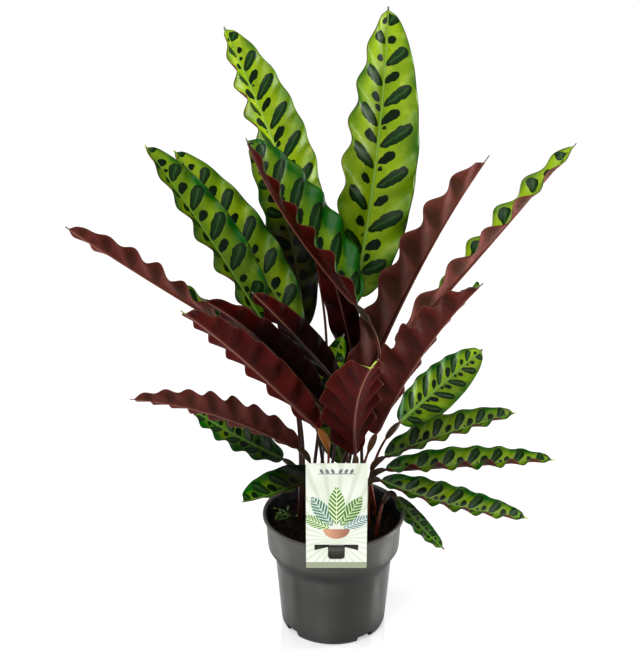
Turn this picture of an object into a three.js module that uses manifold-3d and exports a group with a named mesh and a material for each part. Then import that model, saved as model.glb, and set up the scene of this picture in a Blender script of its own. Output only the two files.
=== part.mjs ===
// A potted calathea with wavy lance-shaped leaves, in a nursery pot.
// Millimetres, +Z up. The origin is the middle of the pot's flat floor,
// the front of the pot is -Y and its right side is +X.

import * as THREE from 'three';
import Module from 'manifold-3d';
import { mergeVertices } from 'three/addons/utils/BufferGeometryUtils.js';

const wasm = await Module();
wasm.setup();

// ---------------------------------------------------------------- driving sizes

const GAP = 0.3;                  // clearance between pieces that touch
const SAME_POINT = 1e-4;          // vertices closer than this are one

// Pot: moulded plastic, 14 cm across the lip
const POT_HEIGHT = 123;
const LIP_RADIUS = 70;
const LIP_DEPTH = 5;
const LIP_WIDTH = 2;              // flat top of the lip, with the edge taken off outside
const LIP_EDGE = 0.7;
const BAND_TOP_RADIUS = 67;       // rim band just under the lip
const BAND_FOOT_RADIUS = 65.2;
const BAND_FOOT_Z = 88;
const BODY_TOP_RADIUS = 58;
const BODY_TOP_Z = 76;
const BODY_FOOT_RADIUS = 52;
const FLOOR_RADIUS = 49;
const FOOT_EDGE_Z = 5;            // the wall turns in to the floor under this height
const FOOT_EDGE_SET = 0.9;        // how far it has turned in halfway down
const POT_WALL = 1.4;
const POT_SIDES = 40;
const NOTCH_COUNT = 4;            // drainage notches in the corner of wall and floor
const NOTCH_WIDTH = 17;
const NOTCH_HEIGHT = 7;
const NOTCH_INNER_RADIUS = 44;
const NOTCH_OUTER_RADIUS = 56;    // clear of the wall, so that it is cut through
const NOTCH_TURN = 37;            // degrees from the front, towards the right

// Soil
const SOIL_EDGE_Z = 108;
const SOIL_TOP_Z = 111;
const SOIL_TOP_SHARE = 0.6;       // of its radius is flat on top
const SOIL_SIDES = 24;
const STALK_DEPTH = 15;           // how deep each stalk stands in its hole
const HOLE_SIDES = 8;

// Label: a card that hooks over the rim through its own window
const LABEL_WIDTH = 57.4;
const LABEL_FOOT_Z = 101.2;
const LABEL_TOP_Z = 212.8;
const LABEL_THICKNESS = 0.7;
const LABEL_MIDDLE_X = 2.1;
const WINDOW_TOP_Z = 126.6;
const WINDOW_HALF_WIDTH = 20.7;
const WINDOW_EAR_Z = 120.2;       // foot of the window's two ears
const WINDOW_NECK_Z = 123.6;
const TONGUE_HALF_WIDTH = 8;
const TONGUE_FOOT_Z = 110.6;
const TONGUE_CORNER = 3.5;
const HOOK_HALF_WIDTH = 7;
const HOOK_FOOT_Z = 113.5;
const HOOK_ROOT = 0.3;            // how far the hook starts under the window's top
const HOOK_BEND = 0.4;            // set of its bend from the lip's inner edge
const HOOK_CLEARANCE = 1.2;       // from the pot's inner wall

// Leaves: what they all share
const BLADE_THICKNESS = 0.8;
const ROWS_PER_WAVE = 4;
const BROAD_HALF_WIDTH = 22;      // broader blades are split once more on each side
const FRONT = new THREE.Vector3(0, -0.92, 0.39);   // where a blade of no roll looks
const VEIN_LEAN = 0.78;           // how far a side vein runs ahead for each step out
const WAVE_GROWTH = 0.25;         // waves are longer towards the base
const WAVE_RISE = 1.6;            // above 1 keeps the waves to the edge
const WIDEST_SHIFT = 0.85;        // below 1 moves the widest place towards the base
const OUTLINE_POWER = 0.5;        // below 1 fills the outline
const POINT_START = 0.985;        // the drip tip takes the last few hundredths
const POINT_HALF_WIDTH = 0.9;
const STALK_SIDES = 5;
const STALK_STEPS = 4;            // rings between the soil and the joint
const STALK_FOOT_RADIUS = 2.2;
const STALK_TOP_RADIUS = 1.2;
const STALK_RISE = 1;             // straight out of the soil before it bends
const STALK_REACH = 0.38;         // share of its span that each end of the bend holds
const JOINT_RADIUS = 3.2;         // the swollen joint just below the blade
const JOINT_LENGTH = 20;
const RIB_SHARE = 0.16;           // the stalk runs on under this share of the blade
const RIB_END_RADIUS = 0.6;

// One row for each leaf, in millimetres and degrees.
//   root    where its stalk stands in the soil
//   base, middle, tip   three points on its midrib
//   half    half of the blade's width at its widest
//   roll    turn of the blade about its own line: at 0 its upper side looks to the
//           front, at 90 to one side, and past that its underside shows
//   twist   further turn from base to tip
//   fold    how far the two halves are raised about the midrib
//   waves, wave   count and height of the waves of its edge
const LEAVES = [
  // tall right
  { root: [8, 40], base: [20, 50, 330], middle: [40, 75, 465], tip: [50, 100, 600],
    half: 40, roll: 18, twist: 0, fold: 25, waves: 7, wave: 4 },
  // tall left
  { root: [-12, 46], base: [-25, 90, 375], middle: [-60, 110, 470], tip: [-105, 130, 575],
    half: 35, roll: 40, twist: 0, fold: 28, waves: 7, wave: 4.5 },
  // left front
  { root: [-33, -1], base: [-65, -10, 325], middle: [-115, -5, 410], tip: [-170, 0, 495],
    half: 28, roll: 42, twist: 0, fold: 35, waves: 6, wave: 4.5 },
  // left behind
  { root: [-22, 22], base: [-35, 10, 310], middle: [-90, 35, 395], tip: [-150, 55, 475],
    half: 29, roll: 38, twist: 0, fold: 30, waves: 6, wave: 4 },
  // centre lean
  { root: [-8, 34], base: [-30, 45, 300], middle: [-45, 60, 400], tip: [-80, 65, 480],
    half: 21, roll: 5, twist: 0, fold: 15, waves: 6, wave: 4 },
  // centre fold
  { root: [-2, 11], base: [20, -8, 345], middle: [-42, 10, 420], tip: [-80, 5, 500],
    half: 46, roll: 64, twist: -8, fold: 38, waves: 6, wave: 4.5 },
  // far left
  { root: [-30, 10], base: [-85, 15, 305], middle: [-165, 5, 360], tip: [-245, -5, 420],
    half: 22, roll: 100, twist: 80, fold: 30, waves: 7, wave: 5 },
  // big left
  { root: [-15, -20], base: [-15, -25, 225], middle: [-80, -80, 320], tip: [-130, -135, 390],
    half: 23, roll: 138, twist: 0, fold: 35, waves: 7, wave: 5 },
  // upper one behind the big left leaf
  { root: [-12, -8], base: [-10, -20, 245], middle: [-65, -50, 325], tip: [-115, -85, 380],
    half: 20, roll: 138, twist: 0, fold: 30, waves: 6, wave: 4 },
  // lower one behind the big left leaf
  { root: [6, -10], base: [4, -10, 265], middle: [-35, -25, 320], tip: [-75, -40, 370],
    half: 17, roll: 150, twist: 0, fold: 30, waves: 5, wave: 4 },
  // low left
  { root: [-26, -16], base: [-35, -15, 200], middle: [-110, -45, 250], tip: [-185, -75, 280],
    half: 23, roll: 122, twist: 0, fold: 26, waves: 8, wave: 4.5 },
  // under the low left
  { root: [-34, 18], base: [-50, 10, 175], middle: [-95, 20, 195], tip: [-140, 30, 220],
    half: 18, roll: 40, twist: 0, fold: 15, waves: 5, wave: 3.5 },
  // small left
  { root: [-18, -32], base: [-10, -30, 180], middle: [-50, -55, 175], tip: [-85, -85, 180],
    half: 24, roll: 60, twist: 0, fold: 30, waves: 4, wave: 1.5 },
  // tall right, seen from below
  { root: [20, 7], base: [20, 10, 230], middle: [80, 30, 365], tip: [145, 55, 470],
    half: 34, roll: -105, twist: 0, fold: 40, waves: 7, wave: 9 },
  // far right
  { root: [30, 4], base: [60, 0, 300], middle: [145, 10, 400], tip: [220, 25, 490],
    half: 24, roll: -88, twist: 60, fold: 27, waves: 6, wave: 6.5 },
  // front right
  { root: [20, -16], base: [40, -15, 215], middle: [80, -60, 320], tip: [125, -110, 405],
    half: 34, roll: -122, twist: 0, fold: 32, waves: 7, wave: 7 },
  // broad right
  { root: [36, 28], base: [65, 30, 205], middle: [105, 60, 230], tip: [150, 85, 260],
    half: 23, roll: 5, twist: 0, fold: 15, waves: 6, wave: 2 },
  // first low right
  { root: [41, 16], base: [50, 5, 180], middle: [110, 5, 205], tip: [175, 0, 230],
    half: 20, roll: -54, twist: 0, fold: 34, waves: 6, wave: 4 },
  // second low right
  { root: [34, -6], base: [50, -12, 175], middle: [130, -22, 185], tip: [210, -30, 195],
    half: 19, roll: -58, twist: 0, fold: 38, waves: 7, wave: 4.5 },
  // third low right
  { root: [28, -22], base: [45, -25, 170], middle: [110, -55, 160], tip: [180, -80, 160],
    half: 20, roll: -54, twist: 0, fold: 35, waves: 7, wave: 3.5 },
  // small low right
  { root: [42, -26], base: [60, -30, 155], middle: [80, -45, 135], tip: [105, -60, 115],
    half: 9, roll: -20, twist: 0, fold: 20, waves: 5, wave: 2 },
  // small centre
  { root: [5, -34], base: [20, -40, 205], middle: [20, -85, 282], tip: [35, -120, 337],
    half: 34, roll: 200, twist: 0, fold: 42, waves: 6, wave: 6.5 },
  // centre behind
  { root: [4, 19], base: [10, 20, 165], middle: [-5, 25, 235], tip: [10, 30, 300],
    half: 17, roll: -10, twist: 0, fold: 12, waves: 5, wave: 3 },
  // dark one behind the centre fold
  { root: [16, 30], base: [24, 40, 250], middle: [0, 32, 355], tip: [-20, 32, 418],
    half: 16, roll: 180, twist: 0, fold: 15, waves: 5, wave: 2.5 },
];

// Finishes
const POT_PLASTIC = finish(0x4b4947, 0.45);
const SOIL_MIX = finish(0x1c1512, 0.95);
const LABEL_CARD = finish(0xe9ebe0, 0.4);
const LEAF_GREEN = finish(0x6f9a2c, 0.4);

function finish(color, roughness) {
  return new THREE.MeshStandardMaterial({ color, roughness, metalness: 0 });
}

// ---------------------------------------------------------------- solids

// A closed mesh becomes a solid that can be joined and cut.
function solidOf(geometry) {
  const bare = geometry.clone();
  bare.deleteAttribute('normal');
  bare.deleteAttribute('uv');
  const merged = mergeVertices(bare, SAME_POINT);
  return new wasm.Manifold(new wasm.Mesh({
    numProp: 3,
    vertProperties: new Float32Array(merged.attributes.position.array),
    triVerts: new Uint32Array(merged.index.array),
  }));
}

function geometryOf(solid) {
  const mesh = solid.getMesh();
  const geometry = new THREE.BufferGeometry();
  geometry.setAttribute('position', new THREE.BufferAttribute(mesh.vertProperties, 3));
  geometry.setIndex(new THREE.BufferAttribute(mesh.triVerts, 1));
  geometry.computeVertexNormals();
  return geometry;
}

// A profile of [radius, z] points, spun about the Z axis.
function spun(profile, sides) {
  const points = profile.map(([radius, z]) => new THREE.Vector2(radius, z));
  return new THREE.LatheGeometry(points, sides).rotateX(Math.PI / 2);
}

function named(name, geometry, material) {
  const mesh = new THREE.Mesh(geometry, material);
  mesh.name = name;
  return mesh;
}

// ---------------------------------------------------------------- pot and soil

const INNER_LIP_RADIUS = LIP_RADIUS - LIP_WIDTH;
const innerWall = [
  [FLOOR_RADIUS - POT_WALL, POT_WALL],
  [BODY_FOOT_RADIUS - POT_WALL, FOOT_EDGE_Z + POT_WALL],
  [BODY_TOP_RADIUS - POT_WALL, BODY_TOP_Z + POT_WALL],
  [BAND_FOOT_RADIUS - POT_WALL, BAND_FOOT_Z + POT_WALL],
  [BAND_TOP_RADIUS - POT_WALL, POT_HEIGHT - LIP_DEPTH],
];

function makePot() {
  const profile = [
    [0, 0],
    [FLOOR_RADIUS, 0],
    [BODY_FOOT_RADIUS - FOOT_EDGE_SET, FOOT_EDGE_Z / 2],
    [BODY_FOOT_RADIUS, FOOT_EDGE_Z],
    [BODY_TOP_RADIUS, BODY_TOP_Z],
    [BAND_FOOT_RADIUS, BAND_FOOT_Z],
    [BAND_TOP_RADIUS, POT_HEIGHT - LIP_DEPTH],
    [LIP_RADIUS, POT_HEIGHT - LIP_DEPTH + LIP_EDGE],
    [LIP_RADIUS, POT_HEIGHT - LIP_EDGE],
    [LIP_RADIUS - LIP_EDGE, POT_HEIGHT],
    [INNER_LIP_RADIUS, POT_HEIGHT],
    ...innerWall.toReversed(),
    [0, POT_WALL],
  ];
  let pot = solidOf(spun(profile, POT_SIDES));
  for (let i = 0; i < NOTCH_COUNT; i++) {
    pot = pot.subtract(solidOf(notch(NOTCH_TURN + i * 360 / NOTCH_COUNT)));
  }
  return geometryOf(pot);
}

// A block that cuts through the corner of wall and floor, at a turn from the front.
function notch(turn) {
  const reach = NOTCH_OUTER_RADIUS - NOTCH_INNER_RADIUS;
  const block = new THREE.BoxGeometry(NOTCH_WIDTH, reach, 2 * NOTCH_HEIGHT);
  block.translate(0, -NOTCH_INNER_RADIUS - reach / 2, 0);
  return block.rotateZ(THREE.MathUtils.degToRad(turn));
}

function makeSoil() {
  const side = innerWall.map(([radius, z]) => [radius - GAP, z]);
  const [lastRadius, lastZ] = side.at(-1);
  const [footRadius, footZ] = side.at(-2);
  const share = (SOIL_EDGE_Z - footZ) / (lastZ - footZ);
  const edgeRadius = footRadius + share * (lastRadius - footRadius);
  side[0][1] = POT_WALL + GAP;
  const profile = [
    [0, POT_WALL + GAP],
    ...side.slice(0, -1),
    [edgeRadius, SOIL_EDGE_Z],
    [edgeRadius * SOIL_TOP_SHARE, SOIL_TOP_Z],
    [0, SOIL_TOP_Z],
  ];
  let soil = solidOf(spun(profile, SOIL_SIDES));
  for (const leaf of LEAVES) {
    soil = soil.subtract(solidOf(stalkHole(leaf)));
  }
  return geometryOf(soil);
}

// The plain round hole that a stalk stands in.
function stalkHole({ root: [x, y] }) {
  const depth = STALK_DEPTH + GAP;
  const hole = new THREE.CylinderGeometry(1, 1, 2 * depth, HOLE_SIDES);
  const radius = (STALK_FOOT_RADIUS + GAP) / Math.cos(Math.PI / HOLE_SIDES);
  return hole.scale(radius, 1, radius).rotateX(Math.PI / 2).translate(x, y, SOIL_TOP_Z);
}

// ---------------------------------------------------------------- label

function makeLabel() {
  const left = LABEL_MIDDLE_X - LABEL_WIDTH / 2;
  const right = LABEL_MIDDLE_X + LABEL_WIDTH / 2;
  const card = new THREE.Shape();
  card.moveTo(left, LABEL_FOOT_Z);
  card.lineTo(right, LABEL_FOOT_Z);
  card.lineTo(right, LABEL_TOP_Z);
  card.lineTo(left, LABEL_TOP_Z);
  card.closePath();
  card.holes.push(labelWindow());
  const plate = new THREE.ExtrudeGeometry(card,
    { depth: LABEL_THICKNESS, bevelEnabled: false, curveSegments: 4 });
  plate.rotateX(Math.PI / 2).translate(0, -LIP_RADIUS - GAP, 0);
  return geometryOf(solidOf(plate).add(solidOf(labelHook())));
}

// The window: a bar with two ears, and a tongue-shaped foot.
function labelWindow() {
  const window = new THREE.Path();
  const x = (offset) => LABEL_MIDDLE_X + offset;
  window.moveTo(x(-WINDOW_HALF_WIDTH), WINDOW_TOP_Z);
  window.lineTo(x(-WINDOW_HALF_WIDTH), WINDOW_EAR_Z);
  window.lineTo(x(-TONGUE_HALF_WIDTH), WINDOW_NECK_Z);
  window.lineTo(x(-TONGUE_HALF_WIDTH), TONGUE_FOOT_Z + TONGUE_CORNER);
  window.quadraticCurveTo(x(-TONGUE_HALF_WIDTH), TONGUE_FOOT_Z,
    x(-TONGUE_HALF_WIDTH + TONGUE_CORNER), TONGUE_FOOT_Z);
  window.lineTo(x(TONGUE_HALF_WIDTH - TONGUE_CORNER), TONGUE_FOOT_Z);
  window.quadraticCurveTo(x(TONGUE_HALF_WIDTH), TONGUE_FOOT_Z,
    x(TONGUE_HALF_WIDTH), TONGUE_FOOT_Z + TONGUE_CORNER);
  window.lineTo(x(TONGUE_HALF_WIDTH), WINDOW_NECK_Z);
  window.lineTo(x(WINDOW_HALF_WIDTH), WINDOW_EAR_Z);
  window.lineTo(x(WINDOW_HALF_WIDTH), WINDOW_TOP_Z);
  window.closePath();
  return window;
}

// The tongue, bent back from the top of the window, rests on the lip and runs down
// inside it.
function labelHook() {
  const front = LIP_RADIUS + GAP;
  const inside = BAND_TOP_RADIUS - POT_WALL - HOOK_CLEARANCE;
  const t = LABEL_THICKNESS;
  const top = POT_HEIGHT + GAP;
  const strip = new THREE.Shape();
  strip.moveTo(-front - t / 2, WINDOW_TOP_Z - HOOK_ROOT);
  strip.lineTo(-front - t / 2, WINDOW_TOP_Z + t);
  strip.lineTo(-INNER_LIP_RADIUS + HOOK_BEND, top + t);
  strip.lineTo(-inside + t, top + t);
  strip.lineTo(-inside + t, HOOK_FOOT_Z);
  strip.lineTo(-inside, HOOK_FOOT_Z);
  strip.lineTo(-inside, top);
  strip.lineTo(-INNER_LIP_RADIUS - HOOK_BEND, top);
  strip.closePath();
  const hook = new THREE.ExtrudeGeometry(strip,
    { depth: 2 * HOOK_HALF_WIDTH, bevelEnabled: false });
  hook.rotateX(Math.PI / 2).rotateZ(Math.PI / 2);
  return hook.translate(LABEL_MIDDLE_X - HOOK_HALF_WIDTH, 0, 0);
}

// ---------------------------------------------------------------- leaves

// The midrib runs from base to tip through the middle point.
function midribOf(leaf) {
  const [base, middle, tip] = [leaf.base, leaf.middle, leaf.tip]
    .map((point) => new THREE.Vector3(...point));
  const control = middle.clone().multiplyScalar(2)
    .sub(base.clone().add(tip).multiplyScalar(0.5));
  return new THREE.QuadraticBezierCurve3(base, control, tip);
}

// Share of the midrib's length at a share of the leaf's waves.
function shareAtWaves(p) {
  const g = WAVE_GROWTH;
  return (Math.sqrt(1 + 4 * g * (1 + g) * p) - 1) / (2 * g);
}

function halfWidthAt(leaf, s) {
  const u = Math.min(s / POINT_START, 1);
  const outline = Math.sin(Math.PI * u ** WIDEST_SHIFT) ** OUTLINE_POWER;
  return Math.max(leaf.half * outline, POINT_HALF_WIDTH);
}

// The way that a blade's upper side looks as a whole.
function faceOf(leaf) {
  const line = new THREE.Vector3(...leaf.tip).sub(new THREE.Vector3(...leaf.base)).normalize();
  const roll = THREE.MathUtils.degToRad(leaf.roll);
  return FRONT.clone().projectOnPlane(line).applyAxisAngle(line, roll);
}

// Place on the middle surface of a blade: p runs from base to tip, counted in
// waves, and v from the left edge, -1, to the right edge, 1.
function bladePoint(leaf, midrib, p, v) {
  const s = shareAtWaves(p);
  const along = midrib.getTangentAt(s);
  const up = faceOf(leaf).projectOnPlane(along).normalize();
  up.applyAxisAngle(along, THREE.MathUtils.degToRad(leaf.twist) * (s - 0.5));
  const right = new THREE.Vector3().crossVectors(along, up);

  const side = Math.sign(v);
  const out = Math.abs(v);
  const fold = THREE.MathUtils.degToRad(leaf.fold);
  const width = halfWidthAt(leaf, s) * out;
  const lean = VEIN_LEAN * leaf.half * leaf.waves / midrib.getLength();
  const turns = leaf.waves * p + lean * (1 - out) + (v < 0 ? 0.5 : 0);
  const crest = Math.cos(2 * Math.PI * turns);
  const height = leaf.wave * out ** WAVE_RISE * crest * halfWidthAt(leaf, s) / leaf.half;

  return midrib.getPointAt(s)
    .addScaledVector(right, side * (width * Math.cos(fold) - height * Math.sin(fold)))
    .addScaledVector(up, width * Math.sin(fold) + height * Math.cos(fold));
}

// A blade is a flat sheet, bent to the midrib and given its thickness. Both faces
// are split along the same diagonals, so they keep their distance.
function makeBlade(leaf, midrib) {
  const rows = leaf.waves * ROWS_PER_WAVE;
  const columns = leaf.half > BROAD_HALF_WIDTH ? 4 : 2;
  const sheet = new THREE.PlaneGeometry(2, 1, columns, rows);
  const place = sheet.attributes.position;
  for (let i = 0; i < place.count; i++) {
    const point = bladePoint(leaf, midrib, place.getY(i) + 0.5, place.getX(i));
    place.setXYZ(i, point.x, point.y, point.z);
  }
  sheet.computeVertexNormals();

  const count = place.count;
  const points = new Float32Array(count * 6);
  const point = new THREE.Vector3();
  const normal = new THREE.Vector3();
  for (let i = 0; i < count; i++) {
    normal.fromBufferAttribute(sheet.attributes.normal, i);
    for (const [face, side] of [[0, 1], [1, -1]]) {
      point.fromBufferAttribute(place, i).addScaledVector(normal, side * BLADE_THICKNESS / 2);
      point.toArray(points, (face * count + i) * 3);
    }
  }

  const top = Array.from(sheet.index.array);
  const triangles = [...top];
  for (let i = 0; i < top.length; i += 3) {
    triangles.push(top[i + 2] + count, top[i + 1] + count, top[i] + count);
  }
  const edge = sheetEdge(columns, rows);
  edge.forEach((a, i) => {
    const b = edge[(i + 1) % edge.length];
    triangles.push(b, a, a + count, b, a + count, b + count);
  });

  const blade = new THREE.BufferGeometry();
  blade.setAttribute('position', new THREE.BufferAttribute(points, 3));
  blade.setIndex(triangles);
  return blade;
}

// The sheet's outer vertices, one after the other, against the clock.
function sheetEdge(columns, rows) {
  const at = (column, row) => row * (columns + 1) + column;
  const edge = [];
  for (let i = 0; i < columns; i++) edge.push(at(i, rows));
  for (let i = rows; i > 0; i--) edge.push(at(columns, i));
  for (let i = columns; i > 0; i--) edge.push(at(i, 0));
  for (let i = 0; i < rows; i++) edge.push(at(0, i));
  return edge;
}

// The stalk's middle line and radii: straight out of the soil, then in one bend to
// the blade, through the swollen joint, and on under the midrib.
function stalkStations(leaf, midrib) {
  const [x, y] = leaf.root;
  const foot = new THREE.Vector3(x, y, SOIL_TOP_Z - STALK_DEPTH);
  const start = new THREE.Vector3(x, y, SOIL_TOP_Z + STALK_RISE);
  const base = midrib.getPointAt(0);
  const arrive = midrib.getTangentAt(0);
  const reach = base.distanceTo(start) * STALK_REACH;
  const bend = new THREE.CubicBezierCurve3(start,
    start.clone().setZ(start.z + reach), base.clone().addScaledVector(arrive, -reach), base);
  const jointShare = 1 - JOINT_LENGTH / bend.getLength();

  const stations = [
    { point: foot, radius: STALK_FOOT_RADIUS },
    { point: start, radius: STALK_FOOT_RADIUS },
  ];
  for (let i = 1; i <= STALK_STEPS; i++) {
    const t = i / STALK_STEPS;
    const radius = THREE.MathUtils.lerp(STALK_FOOT_RADIUS, STALK_TOP_RADIUS, t);
    stations.push({ point: bend.getPointAt(jointShare * t), radius });
  }
  stations.push({ point: bend.getPointAt((1 + 2 * jointShare) / 3), radius: JOINT_RADIUS });
  stations.push({ point: bend.getPointAt((2 + jointShare) / 3), radius: JOINT_RADIUS });
  stations.push({ point: base, radius: STALK_TOP_RADIUS });
  stations.push({ point: midrib.getPointAt(RIB_SHARE), radius: RIB_END_RADIUS });
  return stations;
}

// A closed cylinder whose rings are moved to the stations.
function bentCylinder(stations) {
  const steps = stations.length - 1;
  const tube = new THREE.CylinderGeometry(1, 1, 1, STALK_SIDES, steps);
  const frames = ringFrames(stations.map((station) => station.point));
  const place = tube.attributes.position;
  for (let i = 0; i < place.count; i++) {
    const k = Math.round((place.getY(i) + 0.5) * steps);
    const { point, radius } = stations[k];
    const { across, aside } = frames[k];
    const moved = point.clone()
      .addScaledVector(across, radius * place.getX(i))
      .addScaledVector(aside, radius * place.getZ(i));
    place.setXYZ(i, moved.x, moved.y, moved.z);
  }
  return tube;
}

// Two directions square to the line at each point, carried along it without a twist.
function ringFrames(points) {
  let across = new THREE.Vector3(1, 0, 0);
  return points.map((point, i) => {
    const before = points[Math.max(i - 1, 0)];
    const after = points[Math.min(i + 1, points.length - 1)];
    const along = after.clone().sub(before).normalize();
    across = across.clone().projectOnPlane(along).normalize();
    const aside = new THREE.Vector3().crossVectors(across, along);
    return { across, aside };
  });
}

function makeLeaf(leaf) {
  const midrib = midribOf(leaf);
  const blade = solidOf(makeBlade(leaf, midrib));
  const stalk = solidOf(bentCylinder(stalkStations(leaf, midrib)));
  return geometryOf(blade.add(stalk));
}

// ---------------------------------------------------------------- the plant

const plant = new THREE.Group();
plant.add(named('pot', makePot(), POT_PLASTIC));
plant.add(named('soil', makeSoil(), SOIL_MIX));
plant.add(named('label', makeLabel(), LABEL_CARD));
LEAVES.forEach((leaf, i) => {
  const name = `leaf_${String(i + 1).padStart(2, '0')}`;
  plant.add(named(name, makeLeaf(leaf), LEAF_GREEN));
});

export default plant;
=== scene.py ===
# %% [markdown]
# # A potted calathea, cell by cell
#
# This script dresses a CAD model of a potted calathea: a nursery pot, its soil, a
# hanging label and leaves with waved edges. The CAD part says where everything
# is. Blender makes each piece finer and gives it its finish. A piece that we model
# again takes the place of its CAD node, and keeps its form and its size.

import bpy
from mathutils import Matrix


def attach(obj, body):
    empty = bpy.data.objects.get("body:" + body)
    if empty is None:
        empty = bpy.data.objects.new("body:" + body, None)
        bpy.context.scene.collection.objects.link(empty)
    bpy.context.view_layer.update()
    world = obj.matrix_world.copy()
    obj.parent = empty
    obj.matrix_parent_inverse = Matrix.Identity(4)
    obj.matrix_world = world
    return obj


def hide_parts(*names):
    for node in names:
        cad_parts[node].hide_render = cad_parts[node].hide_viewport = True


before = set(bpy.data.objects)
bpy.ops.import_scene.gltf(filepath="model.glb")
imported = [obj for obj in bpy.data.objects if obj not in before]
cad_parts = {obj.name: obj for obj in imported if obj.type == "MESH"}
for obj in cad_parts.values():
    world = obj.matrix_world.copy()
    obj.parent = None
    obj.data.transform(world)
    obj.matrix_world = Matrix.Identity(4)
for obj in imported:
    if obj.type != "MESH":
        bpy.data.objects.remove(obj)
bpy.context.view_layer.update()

# %% The libraries that the cells share
from math import atan2, cos, exp, pi, radians, sin, sqrt

import bmesh
import bpy
from mathutils import Matrix, Vector, noise

MM = 0.001  # the tables below are in millimetres
scene = bpy.context.scene
print("nodes in the frame:", len(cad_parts))

# %% [markdown]
# ## The camera first
#
# A photograph of a plant is easiest to match when the camera is settled before any
# shape. The pot's rim and foot are circles, so the two ellipses in the photo give
# the camera's height and distance. It stands 1.3 m in front and looks down by about
# 23 degrees. The frame is 640 by 661, so Blender fits the sensor to the height.

# %% Place the camera
FRAME_HEIGHT_PX = 661
FOCAL_PX = 1501
SENSOR = 36.0

camera_data = bpy.data.cameras.new("photo_camera")
camera_data.sensor_fit = "AUTO"
camera_data.sensor_width = SENSOR
camera_data.lens = FOCAL_PX * SENSOR / FRAME_HEIGHT_PX
camera_data.clip_start, camera_data.clip_end = 0.05, 60
camera = bpy.data.objects.new("photo_camera", camera_data)
camera.location = (-0.0134, -1.3, 0.859)
camera.rotation_euler = (radians(90 - 22.67), 0, 0)
scene.collection.objects.link(camera)
scene.camera = camera
print("lens in mm:", round(camera_data.lens, 2))

# %% [markdown]
# ## Small tools for materials
#
# A procedural material is a chain of small sums. Adding and linking each node by
# hand hides the idea, so one helper adds a node, sets or links its inputs and hands
# back its output. The others name the sums that the finishes use again and again.


# %% Material helpers
def new_material(name):
    """An empty material, its node tree and its shader."""
    material = bpy.data.materials.new(name)
    material.use_nodes = True
    tree = material.node_tree
    tree.nodes.clear()
    shader = tree.nodes.new("ShaderNodeBsdfPrincipled")
    output = tree.nodes.new("ShaderNodeOutputMaterial")
    tree.links.new(shader.outputs["BSDF"], output.inputs["Surface"])
    return material, tree, shader


def put(tree, socket, value):
    """Links an output to a socket, or sets the socket's own value."""
    if isinstance(value, bpy.types.NodeSocket):
        tree.links.new(value, socket)
    else:
        socket.default_value = value


def add_node(tree, kind, inputs=(), out=0, **settings):
    node = tree.nodes.new("ShaderNode" + kind)
    for key, value in settings.items():
        setattr(node, key, value)
    for key, value in dict(inputs).items():
        put(tree, node.inputs[key], value)
    return node.outputs[out]


def calc(tree, operation, *values):
    return add_node(tree, "Math", enumerate(values), operation=operation)


def ramp(tree, value, low, high, to_low=0.0, to_high=1.0, smooth=True):
    """Maps low..high to to_low..to_high, held at the ends."""
    kind = "SMOOTHSTEP" if smooth else "LINEAR"
    inputs = {"Value": value, "From Min": low, "From Max": high,
              "To Min": to_low, "To Max": to_high}
    return add_node(tree, "MapRange", inputs, interpolation_type=kind)


def mix_colour(tree, share, a, b, blend="MIX"):
    inputs = {0: share, 6: a, 7: b}
    return add_node(tree, "Mix", inputs, out=2, data_type="RGBA", blend_type=blend)


def blotches(tree, where, scale, detail=2.0, roughness=0.5):
    inputs = {"Vector": where, "Scale": scale, "Detail": detail, "Roughness": roughness}
    return add_node(tree, "TexNoise", inputs)


def bump(tree, height, distance, strength=1.0, normal=None):
    inputs = {"Height": height, "Distance": distance, "Strength": strength}
    if normal is not None:
        inputs["Normal"] = normal
    return add_node(tree, "Bump", inputs)


def rgb(red, green, blue):
    """A colour read from the photo, 0 to 255, as the linear light Blender mixes."""
    return tuple((c / 255) ** 2.2 for c in (red, green, blue)) + (1.0,)


print("helpers for nodes are ready")

# %% [markdown]
# ## The spots on a leaf
#
# The upper side of each leaf has rows of dark ovals along its side veins: a long
# one, a small one and a middling one, over and over, on each side of the midrib. They
# are drawn in the leaf's own coordinates. U counts the waves of the edge, so one step
# of U is one row of spots, and V runs from -1 at the left edge to 1 at the right.
# Because the waves stretch and bend with the leaf, so do the spots.

# %% Coordinates and ovals in the leaf's own space
# kind: place along the row, place out from the midrib, half length, half width
SPOTS = {
    "long": (0.45, 0.45, 0.50, 0.150),
    "middling": (0.90, 0.25, 0.27, 0.115),
    "small": (0.62, 0.12, 0.11, 0.065),
}
VEIN_SLANT = radians(38)
LEAF_VALUES = ("half_mm", "period_mm", "seed", "share", "deep", "warm", "painted_shade", "rose",
               "dry", "fresh")  # what each point of a leaf knows about itself


def leaf_space(tree):
    """The places that every leaf pattern starts from."""
    uv = add_node(tree, "UVMap", uv_map="blade")
    split = tree.nodes.new("ShaderNodeSeparateXYZ")
    tree.links.new(uv, split.inputs[0])
    along, across = split.outputs[0], split.outputs[1]
    space = {"along": along, "across": across, "out": calc(tree, "ABSOLUTE", across)}
    for name in LEAF_VALUES:
        space[name] = add_node(tree, "Attribute", out=2, attribute_name=name)
    space["out_mm"] = calc(tree, "MULTIPLY", space["out"], space["half_mm"])
    space["ratio"] = calc(tree, "DIVIDE", space["half_mm"], space["period_mm"])
    space["side"] = calc(tree, "GREATER_THAN", across, 0.0)
    space["place"] = add_node(tree, "TexCoord", out=3)
    return space


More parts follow.
